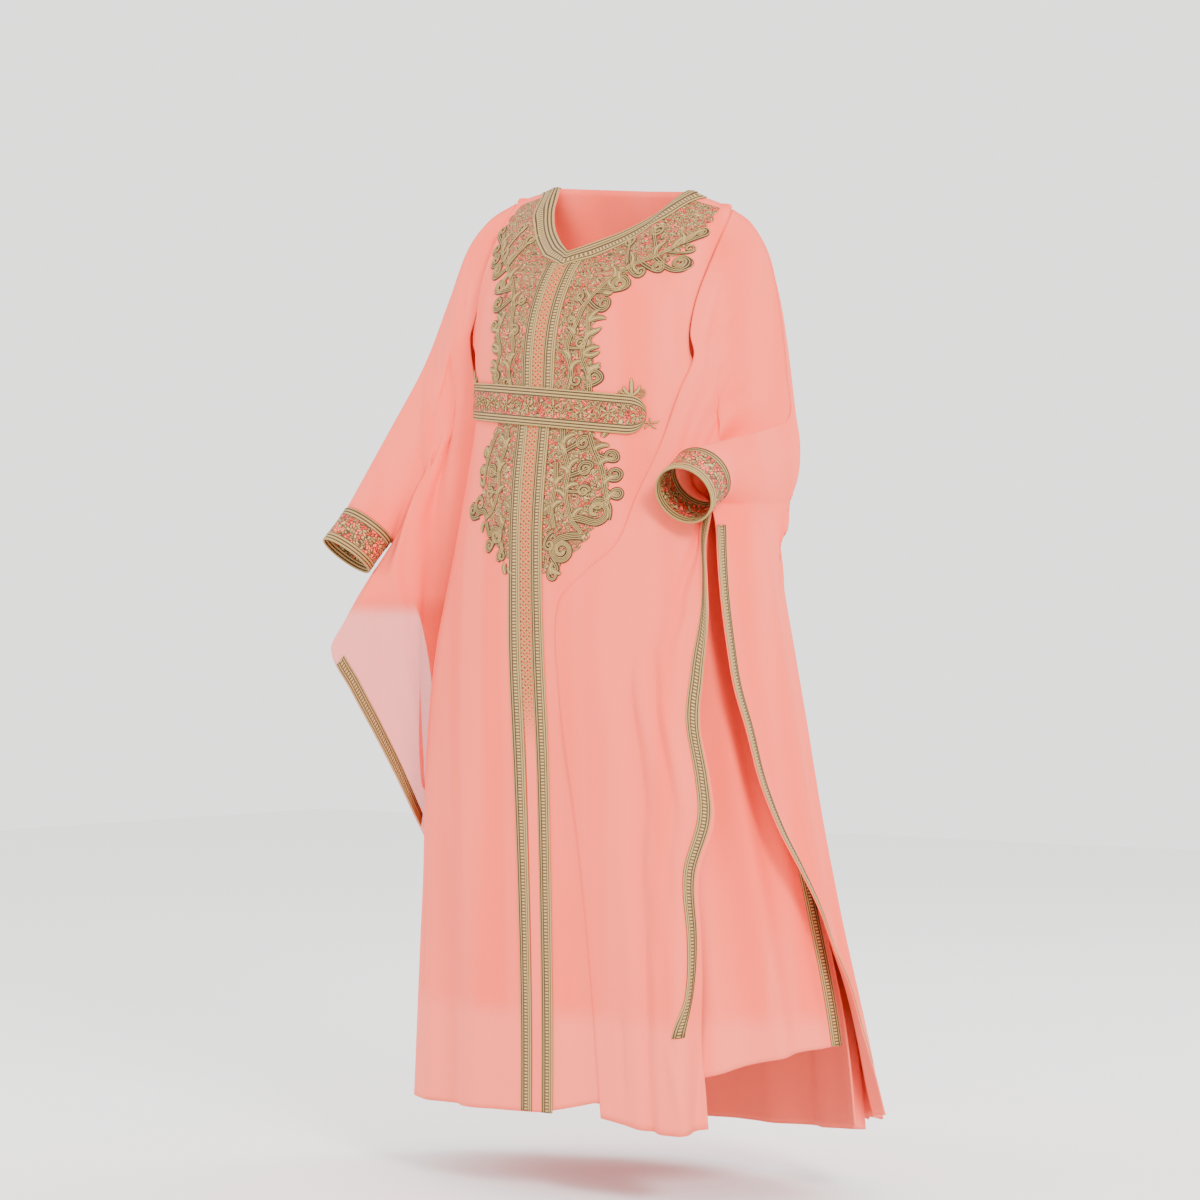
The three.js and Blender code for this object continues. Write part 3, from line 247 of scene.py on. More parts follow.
def shell(name, material, rows, normals, facing, thickness, outward=0.0, flat_map=None):
    """A closed thin wall behind a grid of outer points."""
    height, width = rows.shape[:2]
    outer = rows + normals * np.asarray(outward)[..., None]
    inner = outer - normals * np.asarray(thickness)[..., None]
    if flat_map is None:
        flat_map = np.stack([lengths(rows, 1), lengths(rows, 0)], -1)
    count = height * width
    quads = grid_quads(height, width)
    parts = [quads, quads[:, ::-1] + count]
    for line in (np.arange(width), np.arange(width)[::-1] + (height - 1) * width,
                 np.arange(height)[::-1] * width, np.arange(height) * width + width - 1):
        parts.append(np.stack([line[:-1], line[1:], line[1:] + count, line[:-1] + count], 1))
    faces = np.concatenate(parts)
    if facing < 0:
        faces = faces[:, ::-1]
    points = np.concatenate([outer.reshape(-1, 3), inner.reshape(-1, 3)])
    both_maps = np.concatenate([flat_map.reshape(-1, 2)] * 2)
    return link_mesh(name, material, points, faces.tolist(), both_maps, 2 * len(quads))


class Value:
    """A number that changes over a surface, with ordinary arithmetic on it."""

    def __init__(self, tree, socket):
        self.tree = tree
        self.socket = socket

    def maths(self, operation, *others):
        node = self.tree.nodes.new("ShaderNodeMath")
        node.operation = operation
        for place, value in zip(node.inputs, others):
            if isinstance(value, Value):
                self.tree.links.new(value.socket, place)
            else:
                place.default_value = value
        return Value(self.tree, node.outputs[0])

    def __add__(self, other):
        return self.maths("ADD", self, other)

    def __sub__(self, other):
        return self.maths("SUBTRACT", self, other)

    def __rsub__(self, other):
        return self.maths("SUBTRACT", other, self)

    def __mul__(self, other):
        return self.maths("MULTIPLY", self, other)

    def wave(self, pitch):
        """0 to 1 and back once in every pitch."""
        return self.maths("SINE", self * (2 * math.pi / pitch)) * 0.5 + 0.5

    def ease(self, start, full):
        """0 at start, 1 at full, smooth between."""
        node = self.tree.nodes.new("ShaderNodeMapRange")
        node.interpolation_type = "SMOOTHSTEP"
        self.tree.links.new(self.socket, node.inputs[0])
        for place, value in zip(node.inputs[1:5], (start, full, 0, 1)):
            place.default_value = value
        return Value(self.tree, node.outputs[0])

    def between(self, low, high, soft):
        """1 from low to high and 0 beyond them, with soft edges."""
        return self.ease(low - soft, low + soft) * (1.0 - self.ease(high - soft, high + soft))


class Finish:
    """A new material with one principled shader and short ways to add to it."""

    def __init__(self, name, **constants):
        self.material = bpy.data.materials.new(name)
        self.material.use_nodes = True
        self.tree = self.material.node_tree
        self.surface = self.tree.nodes["Principled BSDF"]
        for socket, value in constants.items():
            self.surface.inputs[socket.replace("_", " ")].default_value = value

    def add(self, kind, settings=(), output=0, **sockets):
        node = self.tree.nodes.new("ShaderNode" + kind)
        for name, value in dict(settings).items():
            setattr(node, name, value)
        for name, value in sockets.items():
            socket = node.inputs[name.replace("_", " ")]
            if isinstance(value, Value):
                self.tree.links.new(value.socket, socket)
            else:
                socket.default_value = value
        return Value(self.tree, node.outputs[output])

    def part(self, number, place):
        """One of the three numbers in a place or a colour."""
        return self.add("SeparateXYZ", output=number, Vector=place)

    def flat(self):
        """A place on the flat cloth, and its distances across and along it in metres."""
        place = self.add("UVMap", {"uv_map": "metres"})
        return place, self.part(0, place), self.part(1, place)

    def blend(self, share, first, second):
        """A colour that goes from first to second as share goes from 0 to 1."""
        node = self.tree.nodes.new("ShaderNodeMix")
        node.data_type = "RGBA"
        self.tree.links.new(share.socket, node.inputs[0])
        for place, value in ((node.inputs[6], first), (node.inputs[7], second)):
            if isinstance(value, Value):
                self.tree.links.new(value.socket, place)
            else:
                place.default_value = (*value, 1)
        return Value(self.tree, node.outputs[2])

    def shifted(self, place, drift, reach):
        """A place moved along by a wandering vector."""
        node = self.tree.nodes.new("ShaderNodeVectorMath")
        node.operation = "MULTIPLY_ADD"
        node.inputs[1].default_value = (reach, reach, 0)
        self.tree.links.new(drift.socket, node.inputs[0])
        self.tree.links.new(place.socket, node.inputs[2])
        return Value(self.tree, node.outputs[0])

    def feed(self, socket, value):
        self.tree.links.new(value.socket, self.surface.inputs[socket])

    def relief(self, height, distance, strength=1.0):
        self.feed("Normal", self.add("Bump", Height=height, Distance=distance, Strength=strength))


def crepe(name, sheer=None):
    """The peach crepe: a fine crinkle, long streaks of painted fold shade, and a paler hem where the lining
    stops.
    """
    cloth = Finish(name, Roughness=0.8, Specular_IOR_Level=0.25, Sheen_Weight=0.06, Sheen_Roughness=0.5,
                   Sheen_Tint=(1.0, 0.5, 0.4, 1))
    place = cloth.add("TexCoord", output=3)
    soft = cloth.add("TexNoise", Vector=place, Scale=5.0, Detail=2.0)
    height = cloth.part(2, place)
    # Long soft streaks stretched down the cloth, blended half way to PEACH_SHADE, are painted shade standing
    # in for the shade in the lengthwise folds.
    lengthwise = cloth.add("Mapping", Vector=place, Scale=(16.0, 16.0, 0.7))
    painted_fold_shade = cloth.add("TexNoise", Vector=lengthwise, Scale=1.0, Detail=1.0, Roughness=0.4)
    tone = cloth.blend(soft.ease(0.35, 0.7), PEACH, shade(PEACH, 0.97))
    tone = cloth.blend(painted_fold_shade.ease(0.42, 0.72) * 0.5, tone, PEACH_SHADE)
    tone = cloth.blend(height.ease(-1.205, -1.25), tone, PEACH_HEM)
    cloth.feed("Base Color", tone)
    crinkle = cloth.add("TexNoise", Vector=place, Scale=420.0, Detail=3.0, Roughness=0.6)
    cloth.relief(crinkle, 0.0006, 0.3)
    if sheer:
        cloth.feed("Alpha", sheer(cloth, place))
    return cloth.material


def clothe(piece, nodes, flat, area, rests_on=(), held="laid", slot="gold_braid", with_pieces=()):
    """Rides the body and stands for its plain solids, which it hides."""
    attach(piece, "root")
    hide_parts(*nodes.split())


def body_grid(turns, back, opening=lambda turn, z: 0):
    """A panel's outer face from its top edge to the hem, set back a little at the seams."""
    z = mix(top_edge(turns)[:, 2], hem_height(turns), np.linspace(0, 1, BODY_ROWS)[:, None])
    turn = np.broadcast_to(turns, z.shape)
    rows = body_point(turn + opening(turn, z), z)
    rows[..., 1] += back
    return rows


def slit_opening(turn, z):
    """The back's slit edges stand a little behind the front's."""
    wide = np.where(turn > 0, 9, 3) * ramp(-860, -1380, z)
    return np.sign(turn) * wide * bump(np.abs(turn) - 90, 5)


body_crepe = crepe("crepe_over_lining")
front_rows = body_grid(np.linspace(-90, 90, 145), -PANELS_APART)
back_turns = np.concatenate([np.linspace(90.001, 180, 71), np.linspace(-178.7, -90.001, 70)])
back_rows = body_grid(back_turns, PANELS_APART, slit_opening)
for name, rows, flat, area in (("front", front_rows, (1.20, 1.47), 1.00),
                               ("back", back_rows, (1.10, 1.47), 1.03)):
    piece = shell(name + "_panel", body_crepe, rows, grid_normals(rows, 1), 1, WALL)
    clothe(piece, name, flat, area, held="hung", slot="cloth")


# Butterfly wings: two layers of the same crepe on each side, joined over the arm, closed round
# the wrist by the cuff's seam and open below it. The right wing's lower front shows one layer of
# thin crepe with no lining, and the left one's falls open in deep folds.
LEFT_CUFF = dict(mouth=(245, -132, -440), axis=(0.117, -0.874, -0.473), up=(0.063, -0.469, 0.881),
                 radius=44, length=65, front_turn=1, cut=(0.283, 0.0642))
RIGHT_CUFF = dict(mouth=(-354, -181, -504), axis=(-0.29, -0.53, -0.79), up=(-0.635, -0.497, 0.592),
                  radius=42, length=62, front_turn=-1, cut=(0.270, 0.0612))
# Share of the way down a wing at which the cuff's mouth ends, and a wing's rough width and length.
MOUTH_DROP = 0.17
WING_SIZE = (230, 1250)
# Share of the way from the armhole to the cuff, and the seam's place over the arm.
LEFT_ARM = [
    (0, 196, 9, -42), (0.12, 222, 20, -64), (0.25, 243, 36, -112), (0.4, 254, 48, -190),
    (0.54, 260, 58, -285), (0.64, 265, 58, -345), (0.74, 262, 12, -366), (0.87, 253, -75, -384),
    (1, 248, -153, -400)]
RIGHT_ARM = [
    (0, -196, -15, -8), (0.12, -226, -42, -34), (0.26, -247, -70, -80), (0.44, -267, -92, -159),
    (0.62, -296, -117, -259), (0.8, -335, -154, -359), (1, -381, -202, -479)]


def on_body(drop, turn, lift, z=None):
    """An edge point that is sewn to the body, at its armhole where no height is given."""
    if z is not None:
        return (drop, *body_point(turn, z, lift))
    angle = math.radians(turn)
    return (drop, *(top_edge(turn) + lift * np.array([math.sin(angle), -math.cos(angle), 0])))


# Each wing layer, by its share of the way down: the arm's line and its cuff, which way the layer
# faces, how far the arm reaches down, its cut, its edges on the body and outside, its hem, its gap
# from the body by height, its folds, the pulls on single places, and its creases.
WINGS = {
    "wing_left_front": dict(
        arm=LEFT_ARM, cuff=LEFT_CUFF, layer=1, facing=1, reach=6, cut=((0.36, 1.43), 0.276),
        inner=[
            (0, 52, 1.7), (0.045, 57, 1.7), (0.09, 62, 1.9), (0.13, 67, 2.4), (0.17, 72, 5),
            (0.22, 69, 2, -315), (0.28, 61, 2, -395), (0.34, 47, 2, -475), (0.39, 36, 2, -540),
            (0.42, 25, 2, -575), (0.46, 13, 2, -625), (0.56, 11, 2, -767), (0.7, 13.5, 2, -965),
            (0.85, 15, 2, -1180), (1, 16.5, 2, -1372)],
        outer=[
            (0.17, 242, -111, -480), (0.2, 241, -106, -493), (0.23, 252, -134, -540),
            (0.27, 270, -156, -592), (0.34, 274, -159, -649), (0.46, 270, -165, -735),
            (0.53, 269, -170, -800), (0.59, 280, -159, -883), (0.64, 284, -157, -939),
            (0.7, 268, -170, -1015), (0.77, 268, -165, -1100), (0.84, 266, -160, -1165),
            (0.91, 257, -150, -1250), (1, 245, -132, -1381)],
        hem=[
            (0, 107, -200, -1372), (0.25, 150, -200, -1378), (0.5, 196, -205, -1385),
            (0.7, 232, -198, -1387), (0.85, 250, -176, -1385), (1, 245, -132, -1381)],
        gap=[(-262, 8), (-500, 14), (-1390, 16)],
        folds=[
            (0.18, 0.3, 0.03, 0.1, 0.2, -10, 0.05), (0.3, 0.35, 0.03, 0.12, 0.22, -10, 0.05),
            (0.42, 0.4, 0.03, 0.12, 0.24, -9, 0.05), (0.62, 0.6, 0.02, 0.1, 0.3, -9, 0.05),
            (0.42, 0.52, 0.36, 0.5, 2, -13, 0.07), (0.72, 0.8, 0.3, 0.5, 2, 10, 0.07)],
        pulls=[(0.75, 0.13, -32, -8, -8, 0.26, 0.12), (0.35, 0.17, -12, 24, 0, 0.16, 0.08)],
        creases=[
            (-10, 11, [(0.3, 0.365), (0.58, 0.42), (0.69, 0.5), (0.72, 0.6), (0.77, 0.73), (0.79, 0.86)]),
            (-5, 14, [(0.34, 0.42), (0.52, 0.57), (0.54, 0.7), (0.63, 0.83)]),
            (-5, 10, [(0.6, 0.34), (0.72, 0.42), (0.85, 0.56)]),
            (5, 7, [(0.7, 0.9), (0.76, 0.95), (0.82, 1)]), (-3, 9, [(0.27, 0.86), (0.25, 1)]),
            (3, 9, [(0.55, 0.88), (0.52, 1)]),
            (-4, 5, [(0.116, 0.019), (0.127, 0.063), (0.197, 0.107), (0.151, 0.192)]),
            (-4, 5, [(0.228, 0.031), (0.282, 0.059), (0.228, 0.133), (0.22, 0.196)]),
            (-3, 4, [(0.255, 0.067), (0.24, 0.1), (0.2, 0.15)]),
            (-4, 4.5, [(0.332, 0.046), (0.363, 0.074), (0.317, 0.137), (0.25, 0.2)]),
            (-5, 6, [(0.486, 0.01), (0.51, 0.024), (0.502, 0.074), (0.297, 0.206), (0.22, 0.239)]),
            (-4, 5, [(0.541, 0.054), (0.463, 0.124), (0.259, 0.225)])]),
    "wing_left_back": dict(
        arm=LEFT_ARM, cuff=LEFT_CUFF, layer=-1, facing=-1, reach=1.3, cut=((0.42, 1.42), 0.351),
        inner=[
            (0, 128, 2), (0.045, 123, 2.1), (0.09, 118, 2.3), (0.13, 113, 2.4), (0.17, 108, 5),
            (0.24, 112, 2, -340), (0.34, 122, 2, -470), (0.46, 133, 2, -640), (0.6, 141, 2, -840),
            (0.8, 146, 2, -1120), (1, 148, 2, -1408)],
        outer=[
            (0.17, 245, -110, -481), (0.2, 252, -109, -512), (0.23, 270, -129, -560),
            (0.28, 282, -137, -620), (0.34, 293, -136, -692), (0.41, 301, -130, -749),
            (0.46, 314, -119, -807), (0.53, 327, -105, -879), (0.6, 347, -84, -951),
            (0.65, 367, -61, -1008), (0.71, 386, -39, -1066), (0.77, 400, -20, -1125),
            (0.82, 412, 0, -1176), (0.88, 420, 21, -1242), (0.95, 427, 45, -1310), (1, 430, 66, -1369)],
        gap=[(-262, 40), (-480, 52), (-620, 42), (-800, 28), (-990, 14), (-1180, 14), (-1390, 30)],
        folds=[
            (0.3, 0.2, 0.04, 0.2, 2, -14, 0.06), (0.45, 0.42, 0.06, 0.3, 2, -13, 0.06),
            (0.62, 0.64, 0.1, 0.35, 2, -10, 0.06), (0.8, 0.8, 0.2, 0.45, 2, -8, 0.06)],
        pulls=[(0.72, 0.12, 14, 4, -14, 0.25, 0.12), (0.3, 0.2, -22, 48, 0, 0.26, 0.13)],
        creases=[
            (-6, 12, [(0.78, 0.03), (0.8, 0.29), (0.776, 0.515), (0.74, 0.75)]),
            (-5, 7, [(0.96, 0.15), (0.915, 0.196), (0.89, 0.26)]),
            (5, 10, [(0.888, 0.286), (0.83, 0.42), (0.764, 0.571)]),
            (-6, 12, [(0.873, 0.235), (0.776, 0.436), (0.737, 0.71)]),
            (-5, 14, [(0.5, 0.25), (0.52, 0.6), (0.5, 0.95)]),
            (5, 14, [(0.35, 0.2), (0.33, 0.6), (0.3, 0.95)])]),
    "wing_right_front": dict(
        arm=RIGHT_ARM, cuff=RIGHT_CUFF, layer=1, facing=-1, reach=3, cut=((0.33, 1.44), 0.168),
        inner=[
            (0, -52, 2.3), (0.045, -57, 2.1), (0.09, -62, 1.9), (0.13, -67, 2.4), (0.17, -72, 5),
            (0.24, -72, 2, -340), (0.34, -73, 2, -500), (0.46, -75, 2, -680), (0.6, -77, 2, -870),
            (0.8, -79, 2, -1120), (1, -80, 2, -1385)],
        outer=[
            (0.17, -327, -160, -529), (0.2, -321, -157, -542), (0.23, -352, -186, -590),
            (0.26, -374, -214, -651), (0.3, -390, -228, -697), (0.37, -377, -196, -762),
            (0.42, -364, -164, -820), (0.49, -352, -123, -891), (0.56, -349, -82, -954),
            on_body(0.61, -84, 12, -1010), on_body(0.7, -95, 12, -1100), on_body(0.85, -105, 12, -1250),
            on_body(1, -112, 12, -1392)],
        gap=[(-262, 8), (-1390, 9)],
        folds=[(0.25, 0.3, 0.05, 0.2, 0.6, -12, 0.1), (0.62, 0.5, 0.05, 0.16, 0.4, 8, 0.06)],
        creases=[
            (4, 8, [(0.59, 0.01), (0.587, 0.126)]), (-5, 8, [(0.68, 0.1), (0.703, 0.159), (0.726, 0.239)]),
            (-7, 14, [(0.471, 0.064), (0.3, 0.24), (0.143, 0.405)]),
            (-3, 6, [(0.247, 0.01), (0.174, 0.079), (0.05, 0.165)]),
            (-4, 8, [(0.62, 0.3), (0.583, 0.361), (0.537, 0.464)]),
            (4, 9, [(0.85, 0.22), (0.8, 0.3), (0.78, 0.42)])]),
    "wing_right_back": dict(
        arm=RIGHT_ARM, cuff=RIGHT_CUFF, layer=-1, facing=1, reach=1.8, cut=((0.42, 1.46), 0.313),
        inner=[
            (0, -128, 2.1), (0.045, -123, 2.1), (0.09, -118, 1.9), (0.13, -113, 2.4), (0.17, -108, 5),
            (0.24, -112, 2, -340), (0.36, -122, 2, -500), (0.5, -131, 2, -700), (0.7, -139, 2, -980),
            (1, -146, 2, -1415)],
        outer=[
            (0.17, -330, -158, -530), (0.22, -350, -138, -585), (0.28, -356, -75, -622),
            (0.36, -371, -25, -700), (0.46, -388, 10, -800), (0.6, -405, 26, -960), (0.8, -420, 34, -1180),
            (1, -432, 40, -1400)],
        gap=[(-262, 22), (-700, 26), (-1390, 30)],
        folds=[
            (0.3, 0.25, 0.04, 0.2, 2, -13, 0.06), (0.5, 0.5, 0.1, 0.35, 2, -12, 0.06),
            (0.75, 0.76, 0.2, 0.45, 2, -8, 0.06)],
        creases=[
            (-6, 12, [(0.6, 0.1), (0.62, 0.4), (0.6, 0.8)]),
            (5, 12, [(0.42, 0.15), (0.4, 0.5), (0.38, 0.95)]),
            (-5, 12, [(0.85, 0.2), (0.86, 0.5), (0.85, 0.9)]),
            (5, 10, [(0.72, 0.15), (0.7, 0.5), (0.68, 0.9)])])}


def cuff_frame(cuff):
    axis = unit(np.array(cuff["axis"], float))
    up = np.array(cuff["up"], float)
    up = unit(up - axis * (up @ axis))
    return np.array(cuff["mouth"], float), axis, up, unit(np.cross(axis, up))


def cuff_out(cuff, turn):
    """The way out from the cuff's middle: turn 0 is its top, 90 its side."""
    _, _, up, side = cuff_frame(cuff)
    angle = np.radians(turn)[..., None]
    return up * np.cos(angle) + side * np.sin(angle)


def keep_outside(p, gap, share):
    """Moves points straight out from the body's middle until they are at least the gap away."""
    armhole_level, wing_level = -215, -262
    turn = np.where(p[..., 0] < 0, -1.0, 1.0)
    middle, half, _ = section(turn, p[..., 2])
    depth = section(np.where(p[..., 1] < middle, 0.0, 180.0), p[..., 2])[2]
    turn = np.degrees(np.arctan2(p[..., 0] / half, (middle - p[..., 1]) / depth))
    body = body_point(turn, np.minimum(p[..., 2], -265))
    away = np.hypot(p[..., 0], p[..., 1] - middle)
    least = np.hypot(body[..., 0], body[..., 1] - middle) + mix(
        -25, gap, ramp(armhole_level, wing_level, p[..., 2]))
    softness = 8
    near = np.maximum(softness - np.abs(away - least), 0) / softness
    wanted = (np.maximum(away, least) + near * near * softness / 4) / away
    wanted = np.where((p[..., 2] > armhole_level) | (share == 0), 1, wanted)
    p[..., 0] *= wanted
    p[..., 1] = middle + (p[..., 1] - middle) * wanted


def keep_off_cuff(p, cuff, on_sleeve):
    """Moves points off the cuff: back behind its mouth or clear of its side, which is nearer."""
    mouth, axis, _, _ = cuff_frame(cuff)
    offset = p - mouth
    on = offset @ axis
    radial = offset - on[..., None] * axis
    past = 1 - ramp(cuff["length"] + 5, cuff["length"] + 40, on)
    least = (cuff["radius"] + 5.6 * past) * np.where(on_sleeve, 1, ramp(-70, -29, on))
    short = least - np.linalg.norm(radial, axis=-1)
    moved = (short > 0) & ~(on_sleeve & (on <= 0))
    back = on_sleeve & (on < short)
    p += np.where((moved & back)[..., None], -on[..., None] * axis, 0)
    p += np.where((moved & ~back)[..., None], unit(radial) * short[..., None], 0)


def bow(line, share):
    """How far a line through a few places leaves the straight one between its ends."""
    first, last = along(line, np.array([0.0, 1.0]))
    return along(line, share) - mix(first, last, share[..., None])


def wing_grid(wing, drops, shares):
    """Outer points of a wing layer: stretched between its four edges, then folded and kept clear."""
    cuff = wing["cuff"]
    mouth = cuff_frame(cuff)[0]
    sign = wing["layer"] * cuff["front_turn"]
    drop, share = np.meshgrid(drops, shares, indexing="ij")

    def rim(at):
        return mouth + cuff_out(cuff, sign * mix(0.4, 179.6, at / MOUTH_DROP)) * cuff["radius"]

    early = np.minimum(drop, MOUTH_DROP)
    ends = rim(np.array([0.0, MOUTH_DROP]))
    straight = mix(ends[0], ends[1], (early / MOUTH_DROP)[..., None])
    at_mouth = mix(straight, rim(early), (share ** 6)[..., None])
    outer = np.where((drop > MOUTH_DROP)[..., None], along(wing["outer"], drop), at_mouth)
    rows = mix(along([on_body(*place) for place in wing["inner"]], drop), outer, share[..., None])
    rows += bow(wing["arm"], share) * ((1 - drop) ** wing["reach"])[..., None]
    if "hem" in wing:
        rows += bow(wing["hem"], share) * ramp(0.3, 1, drop)[..., None]
    normals = grid_normals(rows, wing["facing"])
    fade = np.clip(np.minimum(np.minimum(share, 1 - share) / 0.12, drop / 0.06), 0, 1)
    depth = np.zeros_like(drop)
    for top, hem_share, start, full, end, height, width in wing["folds"]:
        grown = ramp(start, full, drop) * (1 - ramp(end, end + 0.15, drop))
        depth += height * bump(share - mix(top, hem_share, drop), width) * grown
    depth += crease_depth(wing["creases"], share, drop, *WING_SIZE)
    rows += normals * (depth * fade)[..., None]
    for at_share, at_drop, x, y, z, wide, tall in wing.get("pulls", ()):
        near = bump(share - at_share, wide) * bump(drop - at_drop, tall) * fade
        rows += near[..., None] * np.array([x, y, z], float)
    gap = along(wing["gap"], rows[..., 2])[..., 0]
    keep_outside(rows, mix(2, gap, ramp(0, 0.5, share) * (1 - ramp(0.84, 1, share))), share)
    keep_off_cuff(rows, cuff, drop < MOUTH_DROP + 0.01)
    return rows


def sheer(cloth, place):
    """Lets the light through where the right wing has no lining."""
    return 1.0 - cloth.part(2, place).ease(-0.61, -0.65) * 0.5


wing_crepe = crepe("crepe_of_the_wings")
thin_crepe = crepe("crepe_with_no_lining", sheer)
wing_drops = np.unique(np.concatenate([np.linspace(0, 0.3, 52), np.linspace(0.3, 1, 84)]))
wing_shares = np.linspace(0, 1, 66)
wing_faces = {}
for name, wing in WINGS.items():
    rows = wing_grid(wing, wing_drops, wing_shares)
    rows[0, 1:-1, 1] -= 0.2 * wing["layer"]
    normals = grid_normals(rows, wing["facing"])
    wing_faces[name] = rows, normals
    finish = thin_crepe if name == "wing_right_front" else wing_crepe
    piece = shell(name + "_cloth", finish, rows, normals, wing["facing"], WALL)
    clothe(piece, name + " " + name.replace("wing", "sleeve"), *wing["cut"], ["front_panel", "back_panel"],
           "hung", "cloth")


# Gold braid: bands of couched metallic cord with a ladder of stitches down the middle, sewn flat
# on the crepe along the wings' open edges and down the side slits of the front.
GOLD = (0.30, 0.18, 0.052)
# GOLD_DARK paints the shade between and beside the gold cords, and is the dark of the stitch patterns.
GOLD_DARK = (0.05, 0.022, 0.007)
GOLD_PALE = (0.44, 0.295, 0.105)
BRAID_WIDTH = 20
BRAID_LIFT = 0.5
BRAID_BASE = 0.9
BAND_COLUMNS = 27
SLIT_START = 0.598
# Cords across a braid: share of its width at the middle, half-width, and height in mm.
BRAID_CORDS = [(0.09, 0.08, 0.9), (0.27, 0.07, 0.7), (0.73, 0.07, 0.7), (0.91, 0.08, 0.9), (0.5, 0.12, 0.35)]
# Distance of the braid from the left wing's front edge, which is plain and folded back low down.
LEFT_INSET = [(0, 1), (0.5, 1), (0.7, 9), (0.79, 12), (0.85, 24), (0.9, 50), (1, 60)]
# Where each wing's braid starts and ends down the edge, and its cut length in metres.
WING_BRAIDS = {"wing_left_front": (0.2, 0.9, 0.776), "wing_left_back": (0.2, 0.94, 0.833),
               "wing_right_front": (0.32, 0.58, 0.307), "wing_right_back": (0.2, 0.94, 0.829)}


def gold_twist(work, top, twist):
    """Gold thread with a pale twist, and painted shade where it meets its neighbour."""
    return work.blend(top, GOLD_DARK, work.blend(twist, GOLD, GOLD_PALE))


def braid(name, width, ladder=(0.36, 0.64), rungs=0.0048):
    """Gold cords side by side with painted shade between them, and rungs over the cloth in the middle."""
    band = Finish(name, Roughness=0.6, Metallic=0.12, Specular_IOR_Level=0.35)
    _, across, along_it = band.flat()
    share = across * (1000 / width)
    inside = share.between(*ladder, 0.02)
    strand = share.wave(0.18)
    twist = (along_it + across * 0.8).wave(0.0024)
    rung = along_it.wave(rungs)
    cord = gold_twist(band, strand.ease(0.15, 0.7), twist)
    middle = band.blend(rung.ease(0.3, 0.7), shade(GOLD_DARK, 2.2), GOLD_PALE)
    band.feed("Base Color", band.blend(inside, cord, middle))
    band.relief(strand * 0.6 + twist * 0.4 + rung * inside * 0.6, 0.0008, 0.6)
    return band.material


def edge_strip(rows, normals, inset):
    """Places on a grid that lie set distances in from the last column, with their normals."""
    back = np.concatenate([rows, normals], -1)[:, ::-1]
    away = lengths(rows[:, ::-1], 1)
    wanted = np.asarray(inset)[:, None] + np.linspace(0, BRAID_WIDTH, BAND_COLUMNS)
    laid = np.stack([np.stack([np.interp(wanted[i], away[i], back[i, :, k]) for k in range(6)], -1)
                     for i in range(len(rows))])
    return laid[..., :3], unit(laid[..., 3:])


def cord_relief(share, cords):
    """Height of half-round cords that lie side by side, at a share of the way across them."""
    return sum(tall * np.sqrt(np.maximum(0, 1 - ((share - at) / half) ** 2)) for at, half, tall in cords)


def band_map(across, rows):
    """A band laid flat: its distances across, and along its first edge."""
    return np.stack(np.broadcast_arrays(across, lengths(rows, 0)[:, :1]), -1)


def sew_band(name, material, rows, normals, facing, width, cords, cut, rests_on, slot="gold_braid"):
    """A closed band on a surface with its cords raised across it; its cut length in metres is not used."""
    share = np.linspace(0, 1, rows.shape[1])
    height = BRAID_BASE + cord_relief(share, cords)
    height[[0, -1]] = BRAID_BASE
    height = np.broadcast_to(height, rows.shape[:2])
    band = shell(name + "_trim", material, rows, normals, facing, height, BRAID_LIFT + height,
                 band_map(share * width, rows))
    clothe(band, name, (width / 1000, cut), None, rests_on, slot=slot)


edge_braid = braid("edge_braid", BRAID_WIDTH)
for name, (start, end, cut) in WING_BRAIDS.items():
    rows, normals = wing_faces[name]
    used = (wing_drops >= start - 1e-6) & (wing_drops <= end + 1e-6)
    inset = along(LEFT_INSET, wing_drops[used])[:, 0] if name == "wing_left_front" else np.ones(used.sum())
    strip, strip_normals = edge_strip(rows[used], normals[used], inset)
    sew_band(name.replace("wing", "wing_braid"), edge_braid, strip, strip_normals, -WINGS[name]["facing"],
             BRAID_WIDTH, BRAID_CORDS, cut, [name + "_cloth"])

in_slit = np.linspace(0, 1, BODY_ROWS) >= SLIT_START
slit_rows = front_rows[in_slit]
slit_normals = grid_normals(front_rows, 1)[in_slit]
for name, step, cut in (("slit_braid_left", 1, 0.399), ("slit_braid_right", -1, 0.454)):
    strip, strip_normals = edge_strip(slit_rows[:, ::step], slit_normals[:, ::step],
                                      np.full(len(slit_rows), 0.5))
    sew_band(name, edge_braid, strip, strip_normals, -step, BRAID_WIDTH, BRAID_CORDS, cut, ["front_panel"])


# Wrist cuffs: stiffened bands of embroidery between two borders of braid, sewn round the mouths
# of the sleeves. The wrist passes through them, and they stand open.
CUFF_CORDS = [(0.04, 0.035, 1.0), (0.12, 0.035, 0.7), (0.2, 0.035, 0.9),
              (0.8, 0.035, 0.9), (0.88, 0.035, 0.7), (0.96, 0.035, 1.0)]


